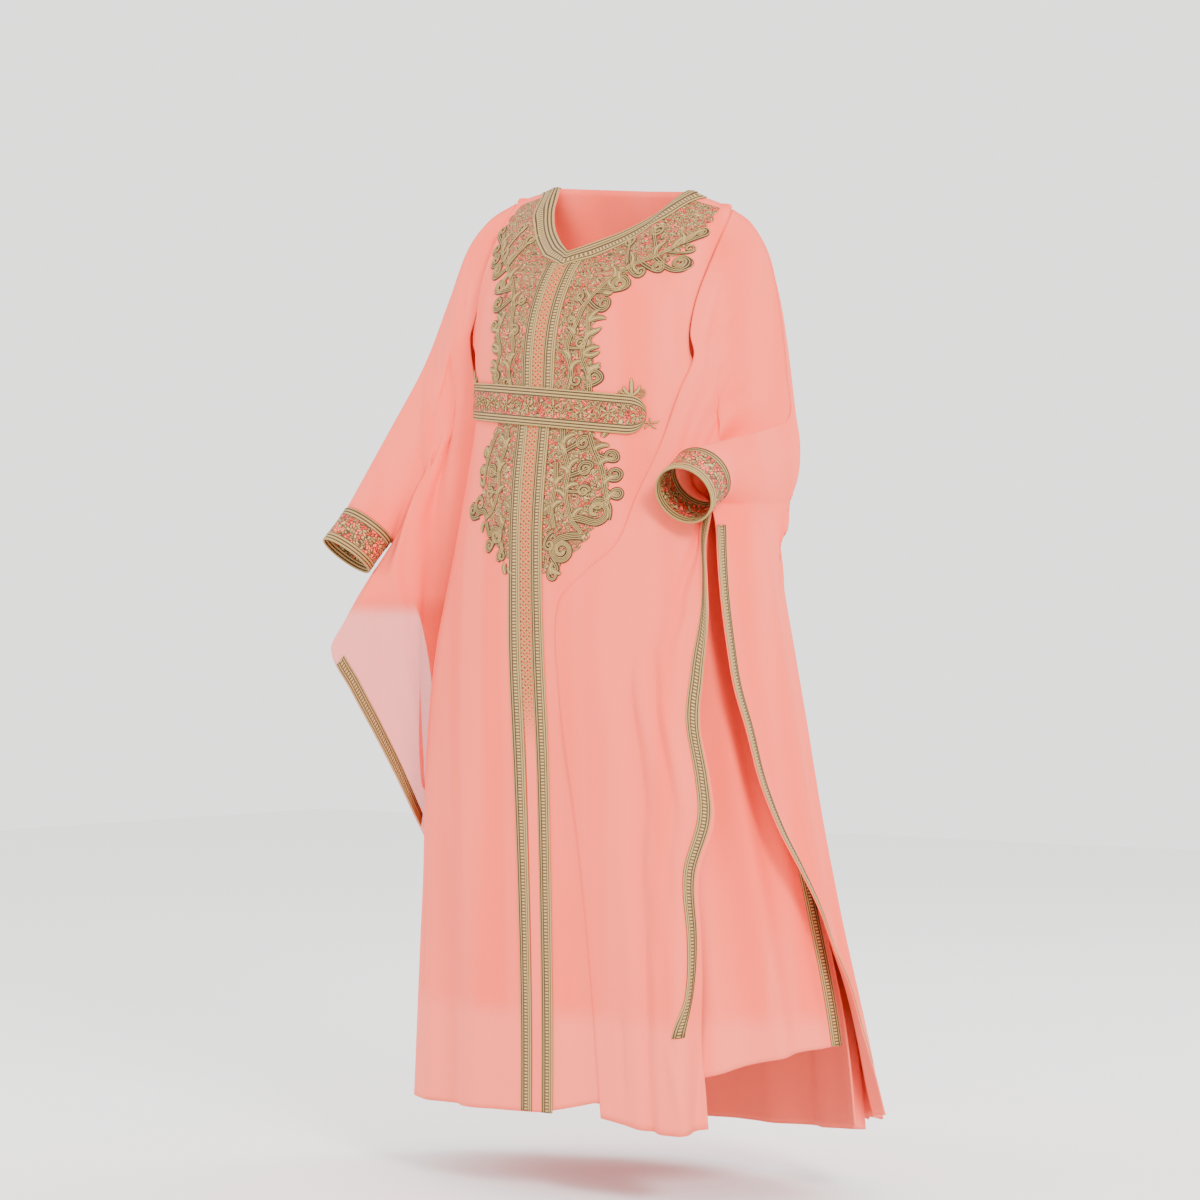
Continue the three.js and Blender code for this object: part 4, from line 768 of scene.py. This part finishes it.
def embroidered(name, cell, show, width=None, border=0.0):
    """Fine gold thread in a close wandering pattern, with the peach cloth showing between."""
    work = Finish(name, Roughness=0.65, Metallic=0.1, Specular_IOR_Level=0.3)
    place, across, along_it = work.flat()
    drift = work.add("TexNoise", {"noise_dimensions": "2D"}, output=1, Vector=place, Scale=90.0, Detail=1.0)
    moved = work.shifted(place, drift, 0.012)
    edge = work.add("TexVoronoi", {"feature": "DISTANCE_TO_EDGE", "voronoi_dimensions": "2D"},
                    Vector=moved, Scale=cell)
    tint = work.add("TexVoronoi", {"voronoi_dimensions": "2D"}, output=1, Vector=moved, Scale=cell)
    chance = work.part(0, tint)
    hue = work.part(1, tint)
    ground = work.blend(hue.ease(0.3, 0.7), shade(PEACH_SHADE, 0.6), PEACH)
    thread = work.blend(hue.ease(0.2, 0.8), GOLD, GOLD_PALE)
    fill = work.blend(chance.ease(show - 0.05, show + 0.05), ground, thread)
    line = edge.ease(0.05, 0.22)
    colour = work.blend(line, GOLD_DARK, fill)
    height = line * 0.7 + chance * 0.3
    if width:
        share = across * (1000 / width)
        inside = share.between(border, 1 - border, 0.01)
        strand = share.wave(0.08)
        twist = (along_it + across * 0.8).wave(0.0026)
        colour = work.blend(inside, gold_twist(work, strand.ease(0.15, 0.7), twist), colour)
        height = height * inside + (1.0 - inside) * strand
    work.feed("Base Color", colour)
    work.relief(height, 0.0009, 0.7)
    return work.material


for name, cuff in (("cuff_left", LEFT_CUFF), ("cuff_right", RIGHT_CUFF)):
    mouth, axis, _, _ = cuff_frame(cuff)
    on = np.linspace(0.8, cuff["length"], 41)
    out = cuff_out(cuff, np.linspace(180.15, 539.85, 97))[:, None, :]
    rows = mouth + axis * on[None, :, None] + out * (cuff["radius"] + 1)
    normals = np.broadcast_to(out, rows.shape)
    facing = np.sign(np.sum(grid_normals(rows, 1)[5, 5] * normals[5, 5]))
    share = np.linspace(0, 1, 41)
    relief = np.where((share > 0) & (share < 1), cord_relief(share, CUFF_CORDS), 0)
    relief = np.broadcast_to(relief, rows.shape[:2])
    finish = embroidered("embroidery_" + name, 200.0, 0.5, cuff["length"], 0.22)
    piece = shell(name + "_band", finish, rows, normals, facing, 2.0 + relief, relief, band_map(on, rows))
    clothe(piece, name, cuff["cut"], None, [name.replace("cuff", "wing") + "_front_cloth"])


# Placket: two braids with a strip of fine embroidery between them, from the neck band to the hem.
# It is sewn shut, so it is one run of trim down the middle of the front.
PLACKET = {"placket_braid_right": (-29.5, -9.7), "placket_strip": (-9.3, 9.3),
           "placket_braid_left": (9.7, 29.5)}
PLACKET_TOP = -118
PLACKET_FOOT = -1371.5
PLACKET_CUT = 1.267
STRIP_CORDS = [(0.5, 0.5, 0.3)]
# How far the placket's top goes down under the neck band.
TUCK = 1.3


def placket_turn(x, z):
    chest = mix(235, 205, ramp(-102, CHEST_LEVEL, z))
    half = np.where(z > CHEST_LEVEL, chest, section(np.float64(90), z)[1])
    return np.degrees(np.arcsin(x / half))


def strip_of_thread():
    """Fine embroidery down to the knee, and below it plain cloth with a painted shadow line along one edge.
    """
    work = Finish("placket_thread", Roughness=0.7, Specular_IOR_Level=0.25)
    _, across, along_it = work.flat()
    start, end = PLACKET["placket_strip"]
    share = across * (1000 / (end - start))
    zigzag = (along_it + share.wave(0.5) * 0.004).wave(0.0065)
    dots = along_it.wave(0.0042) * share.wave(0.25)
    low = work.part(2, work.add("TexCoord", output=3)).ease(-0.74, -0.86)
    rich = work.blend(zigzag.ease(0.45, 0.65), shade(GOLD, 1.1),
                      work.blend(dots.ease(0.12, 0.4), shade(PEACH_SHADE, 0.8), GOLD_DARK))
    # The dark line along the strip's edge beside the braid is a painted shadow cast by the braid's edge.
    plain_with_painted_shadow = work.blend(share.ease(0.16, 0.06), PEACH, shade(PEACH_SHADE, 0.4))
    work.feed("Base Color", work.blend(low, rich, plain_with_painted_shadow))
    work.relief((zigzag + dots) * (1.0 - low), 0.0007, 0.6)
    return work.material


for name, (start, end) in PLACKET.items():
    finish, cords, slot = edge_braid, BRAID_CORDS, "gold_braid"
    if name == "placket_strip":
        finish, cords, slot = strip_of_thread(), STRIP_CORDS, "embroidery"
    x, z = np.meshgrid(np.linspace(start, end, BAND_COLUMNS), np.linspace(PLACKET_TOP, PLACKET_FOOT, 300))
    rows = body_point(placket_turn(x, z), z)
    rows[..., 1] += TUCK * ramp(-130, -124, z) - PANELS_APART
    sew_band(name, finish, rows, grid_normals(rows, 1), 1, end - start, cords, PLACKET_CUT,
             ["front_panel"], slot)


# Neck band: four couched cords round the neck with a dotted line of stitches, its two ends meeting
# at the middle of the back. It lies squarely on the cloth, mitred at the tip of the V.
NECK_WIDTH = 33
NECK_CORDS = [(0.06, 0.06, 1.0), (0.2, 0.055, 0.8), (0.33, 0.055, 0.8), (0.46, 0.055, 0.8), (0.94, 0.06, 0.9),
              (0.8, 0.05, 0.5)]


def surface_of(*grids):
    """A search tree over the outer faces of grids, for laying trim on them."""
    points, faces, first = [], [], 0
    for rows in grids:
        points.append(rows.reshape(-1, 3))
        faces.append(grid_quads(*rows.shape[:2], first))
        first += len(points[-1])
    return BVHTree.FromPolygons(np.concatenate(points).tolist(), np.concatenate(faces).tolist())


body_surface = surface_of(front_rows, back_rows)


def lay_on(rows):
    flat = [body_surface.find_nearest(Vector(p))[0] for p in rows.reshape(-1, 3)]
    return np.array(flat).reshape(rows.shape)


def neck_point(turn, width):
    """A place a set width out from the neck edge, along the seam at the shoulder."""
    edge = top_edge(turn)
    run = top_edge(turn + 0.5) - top_edge(turn - 0.5)
    down = body_point(turn, edge[..., 2] - 2) - edge
    inwards = unit(np.cross(run, np.cross(run, down)))
    spread = np.clip(np.abs(turn) / 6, 0, 1)
    tip = inwards * np.stack([spread, np.ones_like(spread), mix(1.1, 1, spread)], -1)
    square = edge - tip * np.asarray(width)[..., None]
    seam = top_edge(np.sign(turn) * mix(30, 39.8, width / NECK_WIDTH))
    near = np.clip(1 - np.abs(np.abs(turn) - 30) / 6, 0, 1) * (np.abs(turn) <= 30)
    behind = np.clip(1 - np.abs(np.abs(turn) - 150) / 8, 0, 1) * (np.abs(turn) > 30)
    return mix(square, seam, np.maximum(near, behind)[..., None])


neck_side = np.concatenate([np.linspace(0.4, 30, 46), np.linspace(150.5, 179.7, 30)])
neck_turns = np.concatenate([-neck_side[::-1], neck_side])
turn, width = np.meshgrid(neck_turns, np.linspace(0, NECK_WIDTH, 33), indexing="ij")
neck_rows = lay_on(neck_point(turn, width))
neck_normals = grid_normals(neck_rows, 1)
neck_facing = np.sign(np.sum(neck_normals[60, 10] * np.array([0, -1, 0.3])))
neck_braid = braid("neck_braid", NECK_WIDTH, (0.56, 0.76), 0.005)
sew_band("neck_band", neck_braid, neck_rows, neck_normals * neck_facing, neck_facing, NECK_WIDTH,
         NECK_CORDS, 0.704, ["front_panel", "back_panel"])


# Embroidery panels: scrolls and leaves of couched gold cord over a close ground of fine thread,
# two on the chest and two below the belt. They are worked on net and laid on the front panel.
CORD_WIDTH = 1.9
CORD_PITCH = 2.1
LOBE_REACH = 8
LOBE_PITCH = 21
# Where the grounds start: out from the neck edge, and out from the middle of the front.
FROM_NECK = 32.0
FROM_MIDDLE = 30.0
# Ground of each panel: turn round the neck or height by the placket, and its outer turn and height.
GROUNDS = {
    "yoke_left": [
        (27, 48, -40), (24, 48, -68), (21, 47, -88), (17, 46, -108), (13, 42, -126), (10, 33, -138),
        (7, 28, -152), (4, 25, -170), (-170, 23, -188), (-195, 22, -208), (-226, 23, -228),
        (-254, 24, -254), (-280, 24, -280), (-324, 24.5, -324)],
    "yoke_right": [
        (27, 47, -14), (24, 47, -40), (21, 46, -64), (17, 43, -86), (13, 38, -102), (10, 31, -118),
        (7, 25, -132), (4, 25, -150), (-154, 27, -166), (-180, 26, -186), (-212, 26, -212),
        (-240, 26, -240), (-270, 24, -270), (-318, 24, -318)],
    "skirt_left": [
        (-358, 26, -366), (-388, 32, -394), (-413, 34, -418), (-440, 35, -446), (-466, 34, -470),
        (-490, 31, -492), (-510, 28, -510), (-530, 25, -528), (-548, 21, -544), (-566, 16, -562),
        (-582, 10, -580)],
    "skirt_right": [
        (-352, 22, -358), (-388, 25, -392), (-416, 27, -418), (-444, 26, -446), (-466, 26, -466),
        (-486, 24, -484), (-505, 20, -502), (-523, 16, -520), (-541, 13, -538), (-560, 9, -556)]}
# Curls: place of the middle across and up, radius, turns, starting angle, strands of cord, and
# the place on a stem that it springs from. Leaves: foot, heading, length, and bend in degrees.
SCROLLS = {
    "yoke_left": dict(
        stems=[
            [
                (52, -318), (58, -285), (50, -250), (60, -215), (66, -190), (84, -160), (116, -132),
                (150, -112), (178, -84)],
            [(88, -318), (84, -290), (74, -262), (80, -232), (76, -205)]],
        curls=[
            (183, -80, 7, 1.3, -60, 3, (160, -100)), (181, -106, 6, 1.2, -90, 2, (150, -108)),
            (178, -127, 9, 1.5, -20, 4, (142, -118)), (152, -134, 7, 1.6, 0, 3, (128, -126)),
            (132, -141, 6, 1.3, -30, 2, (112, -132)), (110, -159, 11, 1.6, 30, 4, (78, -168)),
            (96, -188, 8, 1.4, -30, 3, (72, -184)), (93, -296, 10, 1.4, 30, 3, (80, -310)),
            (66, -300, 8, 1.3, 150, 2, (54, -312)), (70, -246, 7, 1.3, 10, 2, (54, -252)),
            (92, -92, 8, 1.4, 180, 2, (110, -128)), (126, -76, 8, 1.4, 190, 2, (142, -112)),
            (54, -176, 7, 1.3, 200, 2, (66, -190)), (52, -210, 6, 1.3, 160, 2, (60, -222))],
        leaves=[
            (80, -214, 20, 26, -50), (80, -214, 70, 22, -60), (76, -232, 10, 26, 40),
            (77, -240, 45, 26, -50), (76, -262, -5, 26, 50), (76, -262, 35, 27, -50), (82, -282, 5, 22, 60),
            (84, -290, 40, 22, -60), (92, -152, -60, 18, 60), (104, -140, -70, 18, 50),
            (120, -130, -60, 18, 50), (60, -232, 130, 18, 50), (56, -268, 120, 18, 60),
            (58, -285, 60, 22, -70), (70, -180, 120, 18, 50), (140, -114, 90, 22, -60),
            (160, -104, 80, 22, -70), (168, -96, 110, 20, 50), (116, -130, 100, 22, 60),
            (98, -148, 110, 22, 60), (175, -88, 60, 18, -60), (90, -170, -20, 16, 60)]),
    "yoke_right": dict(
        stems=[
            [
                (-52, -312), (-60, -280), (-52, -246), (-62, -212), (-68, -182), (-86, -150), (-116, -118),
                (-146, -96), (-172, -62)],
            [(-86, -308), (-92, -280), (-82, -252), (-92, -222), (-84, -196)]],
        curls=[
            (-180, -58, 7, 1.3, 240, 3, (-160, -80)), (-168, -88, 7, 1.3, 260, 3, (-146, -96)),
            (-156, -106, 8, 1.5, 200, 3, (-130, -108)), (-138, -124, 9, 1.4, 210, 4, (-112, -122)),
            (-112, -152, 10, 1.5, 160, 4, (-84, -156)), (-106, -178, 9, 1.5, 200, 3, (-76, -172)),
            (-104, -212, 7, 1.3, 180, 2, (-86, -204)), (-90, -288, 8, 1.3, 150, 3, (-80, -304)),
            (-96, -78, 8, 1.4, 0, 2, (-112, -118)), (-128, -58, 8, 1.4, -10, 2, (-142, -98)),
            (-52, -176, 7, 1.3, -20, 2, (-66, -184)), (-52, -222, 6, 1.3, 20, 2, (-62, -214)),
            (-64, -298, 8, 1.3, 30, 2, (-54, -306))],
        leaves=[
            (-90, -222, 160, 22, 50), (-88, -210, 120, 22, 60), (-84, -250, 175, 24, -50),
            (-84, -250, 140, 24, 50), (-92, -278, 180, 18, -60), (-90, -276, 130, 20, 60),
            (-92, -144, 240, 18, -60), (-104, -130, 250, 18, -50), (-62, -230, 50, 18, -50),
            (-58, -268, 60, 18, -60), (-60, -280, 120, 22, 70), (-72, -176, 60, 18, -50),
            (-132, -106, 90, 20, 60), (-150, -92, 100, 20, 60), (-160, -78, 70, 18, -50),
            (-116, -116, 80, 20, -60), (-98, -138, 70, 20, -60)]),
    "skirt_left": dict(
        stems=[
            [(52, -372), (56, -400), (66, -430), (64, -462), (74, -500), (92, -524)],
            [(92, -380), (100, -402), (112, -430), (118, -458), (124, -484)],
            [(46, -420), (48, -452), (44, -486), (50, -516)]],
        curls=[
            (110, -492, 17, 1.1, -120, 5, (74, -500)), (112, -482, 8, 1.3, 60, 3, (126, -504)),
            (62, -548, 17, 1.7, 100, 5, (92, -528)), (48, -584, 9, 1.3, 60, 3, (46, -560)),
            (122, -412, 8, 1.4, 0, 3, (104, -410)), (128, -438, 8, 1.3, -30, 3, (114, -440)),
            (132, -466, 7, 1.3, -30, 3, (120, -462)), (84, -392, 9, 1.4, 90, 3, (58, -404)),
            (90, -430, 10, 1.4, 60, 3, (68, -440)), (90, -462, 8, 1.4, 40, 2, (66, -462)),
            (42, -540, 8, 1.3, 160, 2, (48, -520))],
        leaves=[
            (100, -402, 30, 22, -60), (108, -424, 40, 22, -60), (116, -452, 50, 22, -60),
            (122, -476, 60, 18, -60), (58, -408, 110, 20, 50), (66, -436, 130, 18, 60),
            (62, -470, 130, 18, 60), (54, -392, 50, 24, -60), (66, -430, 60, 22, -60),
            (64, -460, 40, 22, -70), (48, -452, 60, 16, -60), (46, -486, 50, 18, -60),
            (48, -566, 250, 20, 60), (46, -574, -40, 18, 50), (110, -384, 60, 16, -60),
            (78, -500, 60, 20, -60)]),
    "skirt_right": dict(
        stems=[
            [(-50, -368), (-52, -396), (-62, -424), (-60, -456), (-70, -486), (-86, -500)],
            [(-76, -372), (-88, -396), (-96, -424), (-98, -450)], [(-44, -500), (-52, -528), (-44, -548)]],
        curls=[
            (-104, -478, 13, 1.3, -60, 4, (-84, -500)), (-124, -486, 9, 1.5, 200, 3, (-104, -496)),
            (-60, -526, 12, 1.5, 160, 4, (-84, -506)), (-98, -402, 7, 1.4, 180, 3, (-88, -396)),
            (-104, -428, 7, 1.3, 190, 3, (-96, -424)), (-74, -540, 8, 1.3, 200, 3, (-56, -520)),
            (-48, -556, 8, 1.3, 200, 3, (-46, -536)), (-78, -430, 9, 1.4, 120, 3, (-62, -436)),
            (-80, -462, 8, 1.4, 120, 2, (-62, -462))],
        leaves=[
            (-92, -404, 130, 18, 60), (-98, -432, 130, 18, 60), (-98, -450, 150, 18, -60),
            (-52, -396, 70, 18, -50), (-62, -430, 60, 18, -50), (-60, -462, 50, 16, -50),
            (-54, -392, 120, 22, 60), (-62, -424, 110, 20, 60), (-44, -508, 130, 16, -50),
            (-40, -566, 260, 18, 60), (-34, -572, 300, 16, 60), (-68, -482, 130, 16, -60),
            (-90, -506, 240, 16, 60)])}


# Each ground's cut: width and length in metres, and area.
GROUND_CUTS = {"yoke_left": ((0.17, 0.34), 0.0275), "yoke_right": ((0.17, 0.33), 0.026),
               "skirt_left": ((0.11, 0.29), 0.0162), "skirt_right": ((0.09, 0.27), 0.0118)}


def smooth_path(points, spacing=2.2):
    """A curve through a few places, with a place every couple of millimetres."""
    points = np.array(points, float)
    knots = np.linspace(0, 1, len(points))
    dense = along(np.column_stack([knots, points]), np.linspace(0, 1, 240))
    run = np.concatenate([[0], np.cumsum(np.hypot(*np.diff(dense, axis=0).T))])
    at = np.linspace(0, run[-1], max(4, int(run[-1] / spacing) + 1))
    return np.column_stack([np.interp(at, run, dense[:, 0]), np.interp(at, run, dense[:, 1])])


def side_of(path):
    run = np.gradient(path, axis=0)
    return np.column_stack([-run[:, 1], run[:, 0]]) / np.maximum(np.hypot(*run.T), 1e-9)[:, None]


def curl_path(across, up, radius, turns, start, foot):
    """From a foot on a stem round a curl to its middle."""
    t = np.linspace(0, 1, 40)
    angle = np.radians(start) + t * turns * 2 * math.pi * np.sign(across)
    shrink = radius * (1 - 0.78 * t ** 1.2)
    spiral = np.column_stack([across + shrink * np.cos(angle), up + shrink * np.sin(angle)])
    heading = spiral[0] - spiral[1]
    heading = heading / np.hypot(*heading)
    reach = np.hypot(*(spiral[0] - np.array(foot)))
    t = np.linspace(0, 1, 16)[:-1, None]
    middle = spiral[0] + heading * reach * 0.5
    lead = (1 - t) ** 2 * np.array(foot, float) + 2 * t * (1 - t) * middle + t ** 2 * spiral[0]
    return smooth_path(np.concatenate([lead, spiral[::3]]))


def leaf_path(across, up, heading, length, bend):
    turn = np.radians(heading + bend * np.linspace(-0.3, 1, 9))
    steps = np.column_stack([np.cos(turn), np.sin(turn)]) * length / 8
    foot = np.array([(across, up)])
    return smooth_path(np.concatenate([foot, foot + np.cumsum(steps[:-1], axis=0)]))


def narrowing(path, taper):
    return 1 - taper * np.linspace(0, 1, len(path)) ** 1.5


def swelling(path, start, power):
    return np.sin(np.linspace(start, 1, len(path)) * math.pi) ** power


def strands(path, width, height, count, pitch, taper):
    """Cords side by side along a path that draw together towards its end."""
    aside = side_of(path) * narrowing(path, taper)[:, None] * pitch
    return [(path + aside * (k - (count - 1) / 2), width, height) for k in range(count)]


def couch(name, material, cords, surface, lift):
    """Half-round cords laid on a surface, each as places across and up, width, height, and a mark for dark
    cords of painted shade.
    """
    points, faces, flat_map = [], [], []
    ring = np.array([(-1, 0), (-0.8, 0.65), (0, 1), (0.8, 0.65), (1, 0)])
    for path, width, height, *dark in cords:
        width = np.broadcast_to(width, len(path))
        height = np.broadcast_to(height, len(path))
        laid = [surface.ray_cast(Vector((x, -600, z)), Vector((0, 1, 0))) for x, z in path]
        keep = [k for k, hit in enumerate(laid) if hit[0] is not None]
        if len(keep) < 3 or keep[-1] - keep[0] != len(keep) - 1:
            continue
        place = np.array([laid[k][0] for k in keep])
        normal = np.array([laid[k][1] for k in keep])
        normal *= -np.sign(normal[:, 1:2])
        across = unit(np.cross(np.gradient(place, axis=0), normal))
        place = place + normal * lift
        first = len(points)
        run = np.concatenate([[0], np.cumsum(np.linalg.norm(np.diff(place, axis=0), axis=1))])
        for k, kept in enumerate(keep):
            for side, up in ring:
                points.append(place[k] + across[k] * side * width[kept] / 2 + normal[k] * up * height[kept])
                flat_map.append((0 if dark else (side + 1) * 500, run[k]))
        for k in range(len(keep) - 1):
            a = first + 5 * k
            for m in range(5):
                b = (m + 1) % 5
                faces.append((a + m, a + b, a + 5 + b, a + 5 + m))
        faces.append((first + 4, first + 3, first + 2, first + 1, first))
        end = first + 5 * (len(keep) - 1)
        faces.append((end, end + 1, end + 2, end + 3, end + 4))
    made = link_mesh(name, material, points, faces, flat_map)
    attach(made, "root")
    return made


def gold_cord():
    """Two-ply metallic cord with a pale twist on top, and painted shade down its sides where it meets its
    neighbour.
    """
    cord = Finish("gold_cord", Roughness=0.6, Metallic=0.12, Specular_IOR_Level=0.35)
    _, across, along_it = cord.flat()
    middle = across.between(0.15, 0.85, 0.15)
    twist = (along_it + across * 0.0012).wave(0.0022)
    cord.feed("Base Color", gold_twist(cord, middle, twist))
    cord.relief(twist * middle, 0.0005, 0.5)
    return cord.material


def panel_cords(scrolls):
    cords = []
    # Each stem, curl and leaf has a dark cord under its gold strands, a little wider than them: painted shade
    # between the strands, and a dark edge round them.
    for stem in scrolls["stems"]:
        path = smooth_path(stem)
        cords.append((path, 9.4 - 2 * np.linspace(0, 1, len(path)), 0.7, "dark"))
        cords += strands(path, CORD_WIDTH, 1.6, 3, 2.8, 0.3)
    for across, up, radius, turns, start, count, foot in scrolls["curls"]:
        path = curl_path(across, up, radius, turns, start, foot)
        wide = count * CORD_PITCH
        cords.append((path, wide * narrowing(path, 0.55) + 2.8, 0.7, "dark"))
        laid = max(2, count - 1)
        cords += strands(path, CORD_WIDTH, 1.8, laid, wide / laid, 0.55)
    for leaf in scrolls["leaves"]:
        path = leaf_path(*leaf)
        swell = swelling(path, 0.12, 0.8)
        cords.append((path, 3 + 7.6 * swell, 0.5, "dark"))
        cords.append((path, 0.8 + 4.6 * swell, 0.7 + 1.0 * swell))
        aside = side_of(path) * (swell * 3.3)[:, None]
        cords += [(path + aside, 1.3, 1.2), (path - aside, 1.3, 1.2)]
    return cords


front_surface = surface_of(front_rows)
cord_finish = gold_cord()
ground_finish = embroidered("embroidered_ground", 300.0, 0.32)
for name, table in GROUNDS.items():
    side = 1 if name.endswith("left") else -1
    start, end = [], []
    for inner, turn, z in table:
        if inner > 0:
            start.append(neck_point(np.array(float(side * inner)), np.array(FROM_NECK)))
        else:
            start.append(body_point(placket_turn(side * FROM_MIDDLE, float(inner)), float(inner)))
        end.append(body_point(float(side * turn), float(z)))
    knots = np.linspace(0, 1, len(table))
    dense = np.linspace(0, 1, 150)
    start = along(np.column_stack([knots, start]), dense)
    end = along(np.column_stack([knots, end]), dense)
    run = lengths(end[:, None], 0)[:, 0]
    lobes = LOBE_REACH * np.abs(np.sin(run * math.pi / LOBE_PITCH)) ** 0.7 * ramp(0, 0.06, dense)
    end = end + unit(end - start) * lobes[:, None]
    rows = lay_on(mix(start[:, None], end[:, None], np.linspace(0, 1, 30)[None, :, None]))
    ground = shell(name + "_ground", ground_finish, rows, grid_normals(rows, side), side, 0.5, 0.8)
    cords = couch(name + "_cords", cord_finish, panel_cords(SCROLLS[name]), front_surface, 0.7)
    clothe(ground, name, *GROUND_CUTS[name], ["front_panel"], slot="embroidery", with_pieces=[cords])


# Belt: a band of embroidery between two braids, stiffened and sewn over the placket. Its left end
# is rounded with a bud above it and a flower on a stem beyond, and its right end has a raised leaf.
BELT_HALF = 28.5
BELT_LEVEL = -337
BELT_LIFT = 4.6
BELT_CORDS = [(0.035, 0.03, 1.0), (0.1, 0.03, 0.7), (0.165, 0.03, 0.7), (0.22, 0.025, 0.9),
              (0.78, 0.025, 0.9), (0.835, 0.03, 0.7), (0.9, 0.03, 0.7), (0.965, 0.03, 1.0)]
FLOWERS = [-40, -29, -16, -3, 10, 23, 35]


def belt_place(turn):
    """Distance across the body and height of the belt's middle line, which slopes down to the left."""
    across = section(turn, np.float64(CHEST_LEVEL))[1] * np.sin(np.radians(turn))
    return across, BELT_LEVEL - 0.1 * across


belt_turns = np.concatenate([np.linspace(-54.55, -49, 16), np.linspace(-48, 43, 110),
                             np.linspace(44, 53.55, 26)])
# Share of the way round each rounded end.
end = np.maximum(0, np.maximum((belt_turns - 44) / 9.6, (-50 - belt_turns) / 4.6))
half = BELT_HALF * np.sqrt(1 - end ** 2)
share = np.linspace(1, -1, 41)
belt_z = belt_place(belt_turns)[1][:, None] + half[:, None] * share
belt_rows = body_point(np.broadcast_to(belt_turns[:, None], belt_z.shape), belt_z)
belt_normals = grid_normals(belt_rows, -1)
belt_facing = 1 if belt_normals[60, 20, 1] < 0 else -1
belt_normals = belt_normals * belt_facing
belt_map = np.stack([np.broadcast_to((1 - share) * BELT_HALF, belt_z.shape), lengths(belt_rows, 0)], -1)
relief = cord_relief((1 - share) / 2, BELT_CORDS)
relief = np.broadcast_to(relief, belt_z.shape) * np.clip((1 - end[:, None]) * 6, 0, 1)
belt = shell("belt_band", embroidered("belt_embroidery", 260.0, 0.45, 2 * BELT_HALF, 0.24), belt_rows,
             belt_normals, -belt_facing, 2.0 + relief, BELT_LIFT + relief, belt_map)


def flower(across, up, radius, petals=6):
    """Petals of cord round a ring, as (path, width, height)."""
    cords = []
    for k in range(petals):
        heading = 90 + k * 360 / petals
        angle = math.radians(heading)
        foot = (across + 0.3 * radius * math.cos(angle), up + 0.3 * radius * math.sin(angle))
        path = leaf_path(*foot, heading, radius * 0.8, 25)
        swell = swelling(path, 0.15, 0.7)
        cords.append((path, 0.6 + radius * 0.34 * swell, 0.5 + 0.8 * swell))
    angle = np.radians(np.linspace(0, 360, 12))
    ring = np.column_stack([across + radius * 0.2 * np.cos(angle), up + radius * 0.2 * np.sin(angle)])
    cords.append((ring, 1.8, 1.8))
    return cords


def bud(across, up, heading, length):
    """A raised leaf with two smaller ones beside it."""
    cords = []
    for turn, reach, wide in ((0, 1, 6.5), (42, 0.72, 5), (-42, 0.72, 5)):
        path = leaf_path(across, up, heading + turn, length * reach, -turn * 0.9)
        swell = swelling(path, 0.1, 0.7)
        cords.append((path, 0.8 + wide * swell, 0.9 + 1.6 * swell))
    return cords


belt_cords = []
for turn in FLOWERS:
    across, up = belt_place(turn)
    belt_cords += flower(float(across), float(up), 11)
    for step in (-4.5, 4.5):
        beside, level = belt_place(turn + step)
        curl = curl_path(float(beside), float(level) + 4, 4, 1.1, 0, (float(beside), float(up) - 8))
        belt_cords += strands(curl, 1.3, 1.1, 1, 1, 0)
belt_surface = surface_of(belt_rows + belt_normals * BELT_LIFT)
belt_flowers = couch("belt_flowers", cord_finish, belt_cords, belt_surface, 0.1)

end_cords = bud(143, -324, 92, 27) + bud(-166, -299, 90, 26)
stem = smooth_path([(146, -352), (153, -356), (157, -361)])
end_cords += strands(stem, 1.6, 1.8, 2, 1.8, 0) + flower(163, -364, 9, 5)
for curl in ((133, -318, 6, 1.3, 200, (143, -326)), (153, -319, 5, 1.3, -20, (144, -326))):
    end_cords += strands(curl_path(*curl), 1.5, 1.6, 2, 1.7, 0.3)
belt_ends = couch("belt_ends", cord_finish, end_cords, front_surface, 1.2)
clothe(belt, "belt", (0.389, 0.057), 0.0213, ["placket_strip_trim"], with_pieces=[belt_flowers, belt_ends])


# Camera at the photo's angle, soft studio light and a plain pale floor.
bpy.ops.object.camera_add(location=(3.3575, -4.3564, -0.6203),
                          rotation=(math.radians(90), 0, math.radians(38)))
camera = bpy.context.object
camera.data.sensor_width = 36
camera.data.lens = 109.06
bpy.context.scene.camera = camera

bpy.ops.mesh.primitive_plane_add(size=14, location=(0, 0, -1.50))
floor = bpy.context.object
floor.name = "studio_floor"
paint = Finish("studio_paint", Base_Color=(0.88, 0.88, 0.875, 1), Roughness=0.8)
floor.data.materials.append(paint.material)

world = bpy.data.worlds.new("studio_air")
bpy.context.scene.world = world
world.use_nodes = True
air = world.node_tree.nodes["Background"].inputs
air["Color"].default_value = (1.0, 0.99, 0.975, 1)
air["Strength"].default_value = 2.1
LAMPS = [((4.6, -2.9, 1.9), (0, 0, -0.6), 1.2, 420), ((-3.4, -2.6, 1.0), (0, 0, -0.7), 2.4, 120),
         ((1.5, 3.4, 2.4), (0, 0, -0.5), 2.4, 120)]
for place, aim, size, power in LAMPS:
    bpy.ops.object.light_add(type="AREA", location=place)
    lamp = bpy.context.object
    lamp.data.energy = power
    lamp.data.size = size
    lamp.rotation_euler = (Vector(aim) - Vector(place)).to_track_quat("-Z", "Y").to_euler()
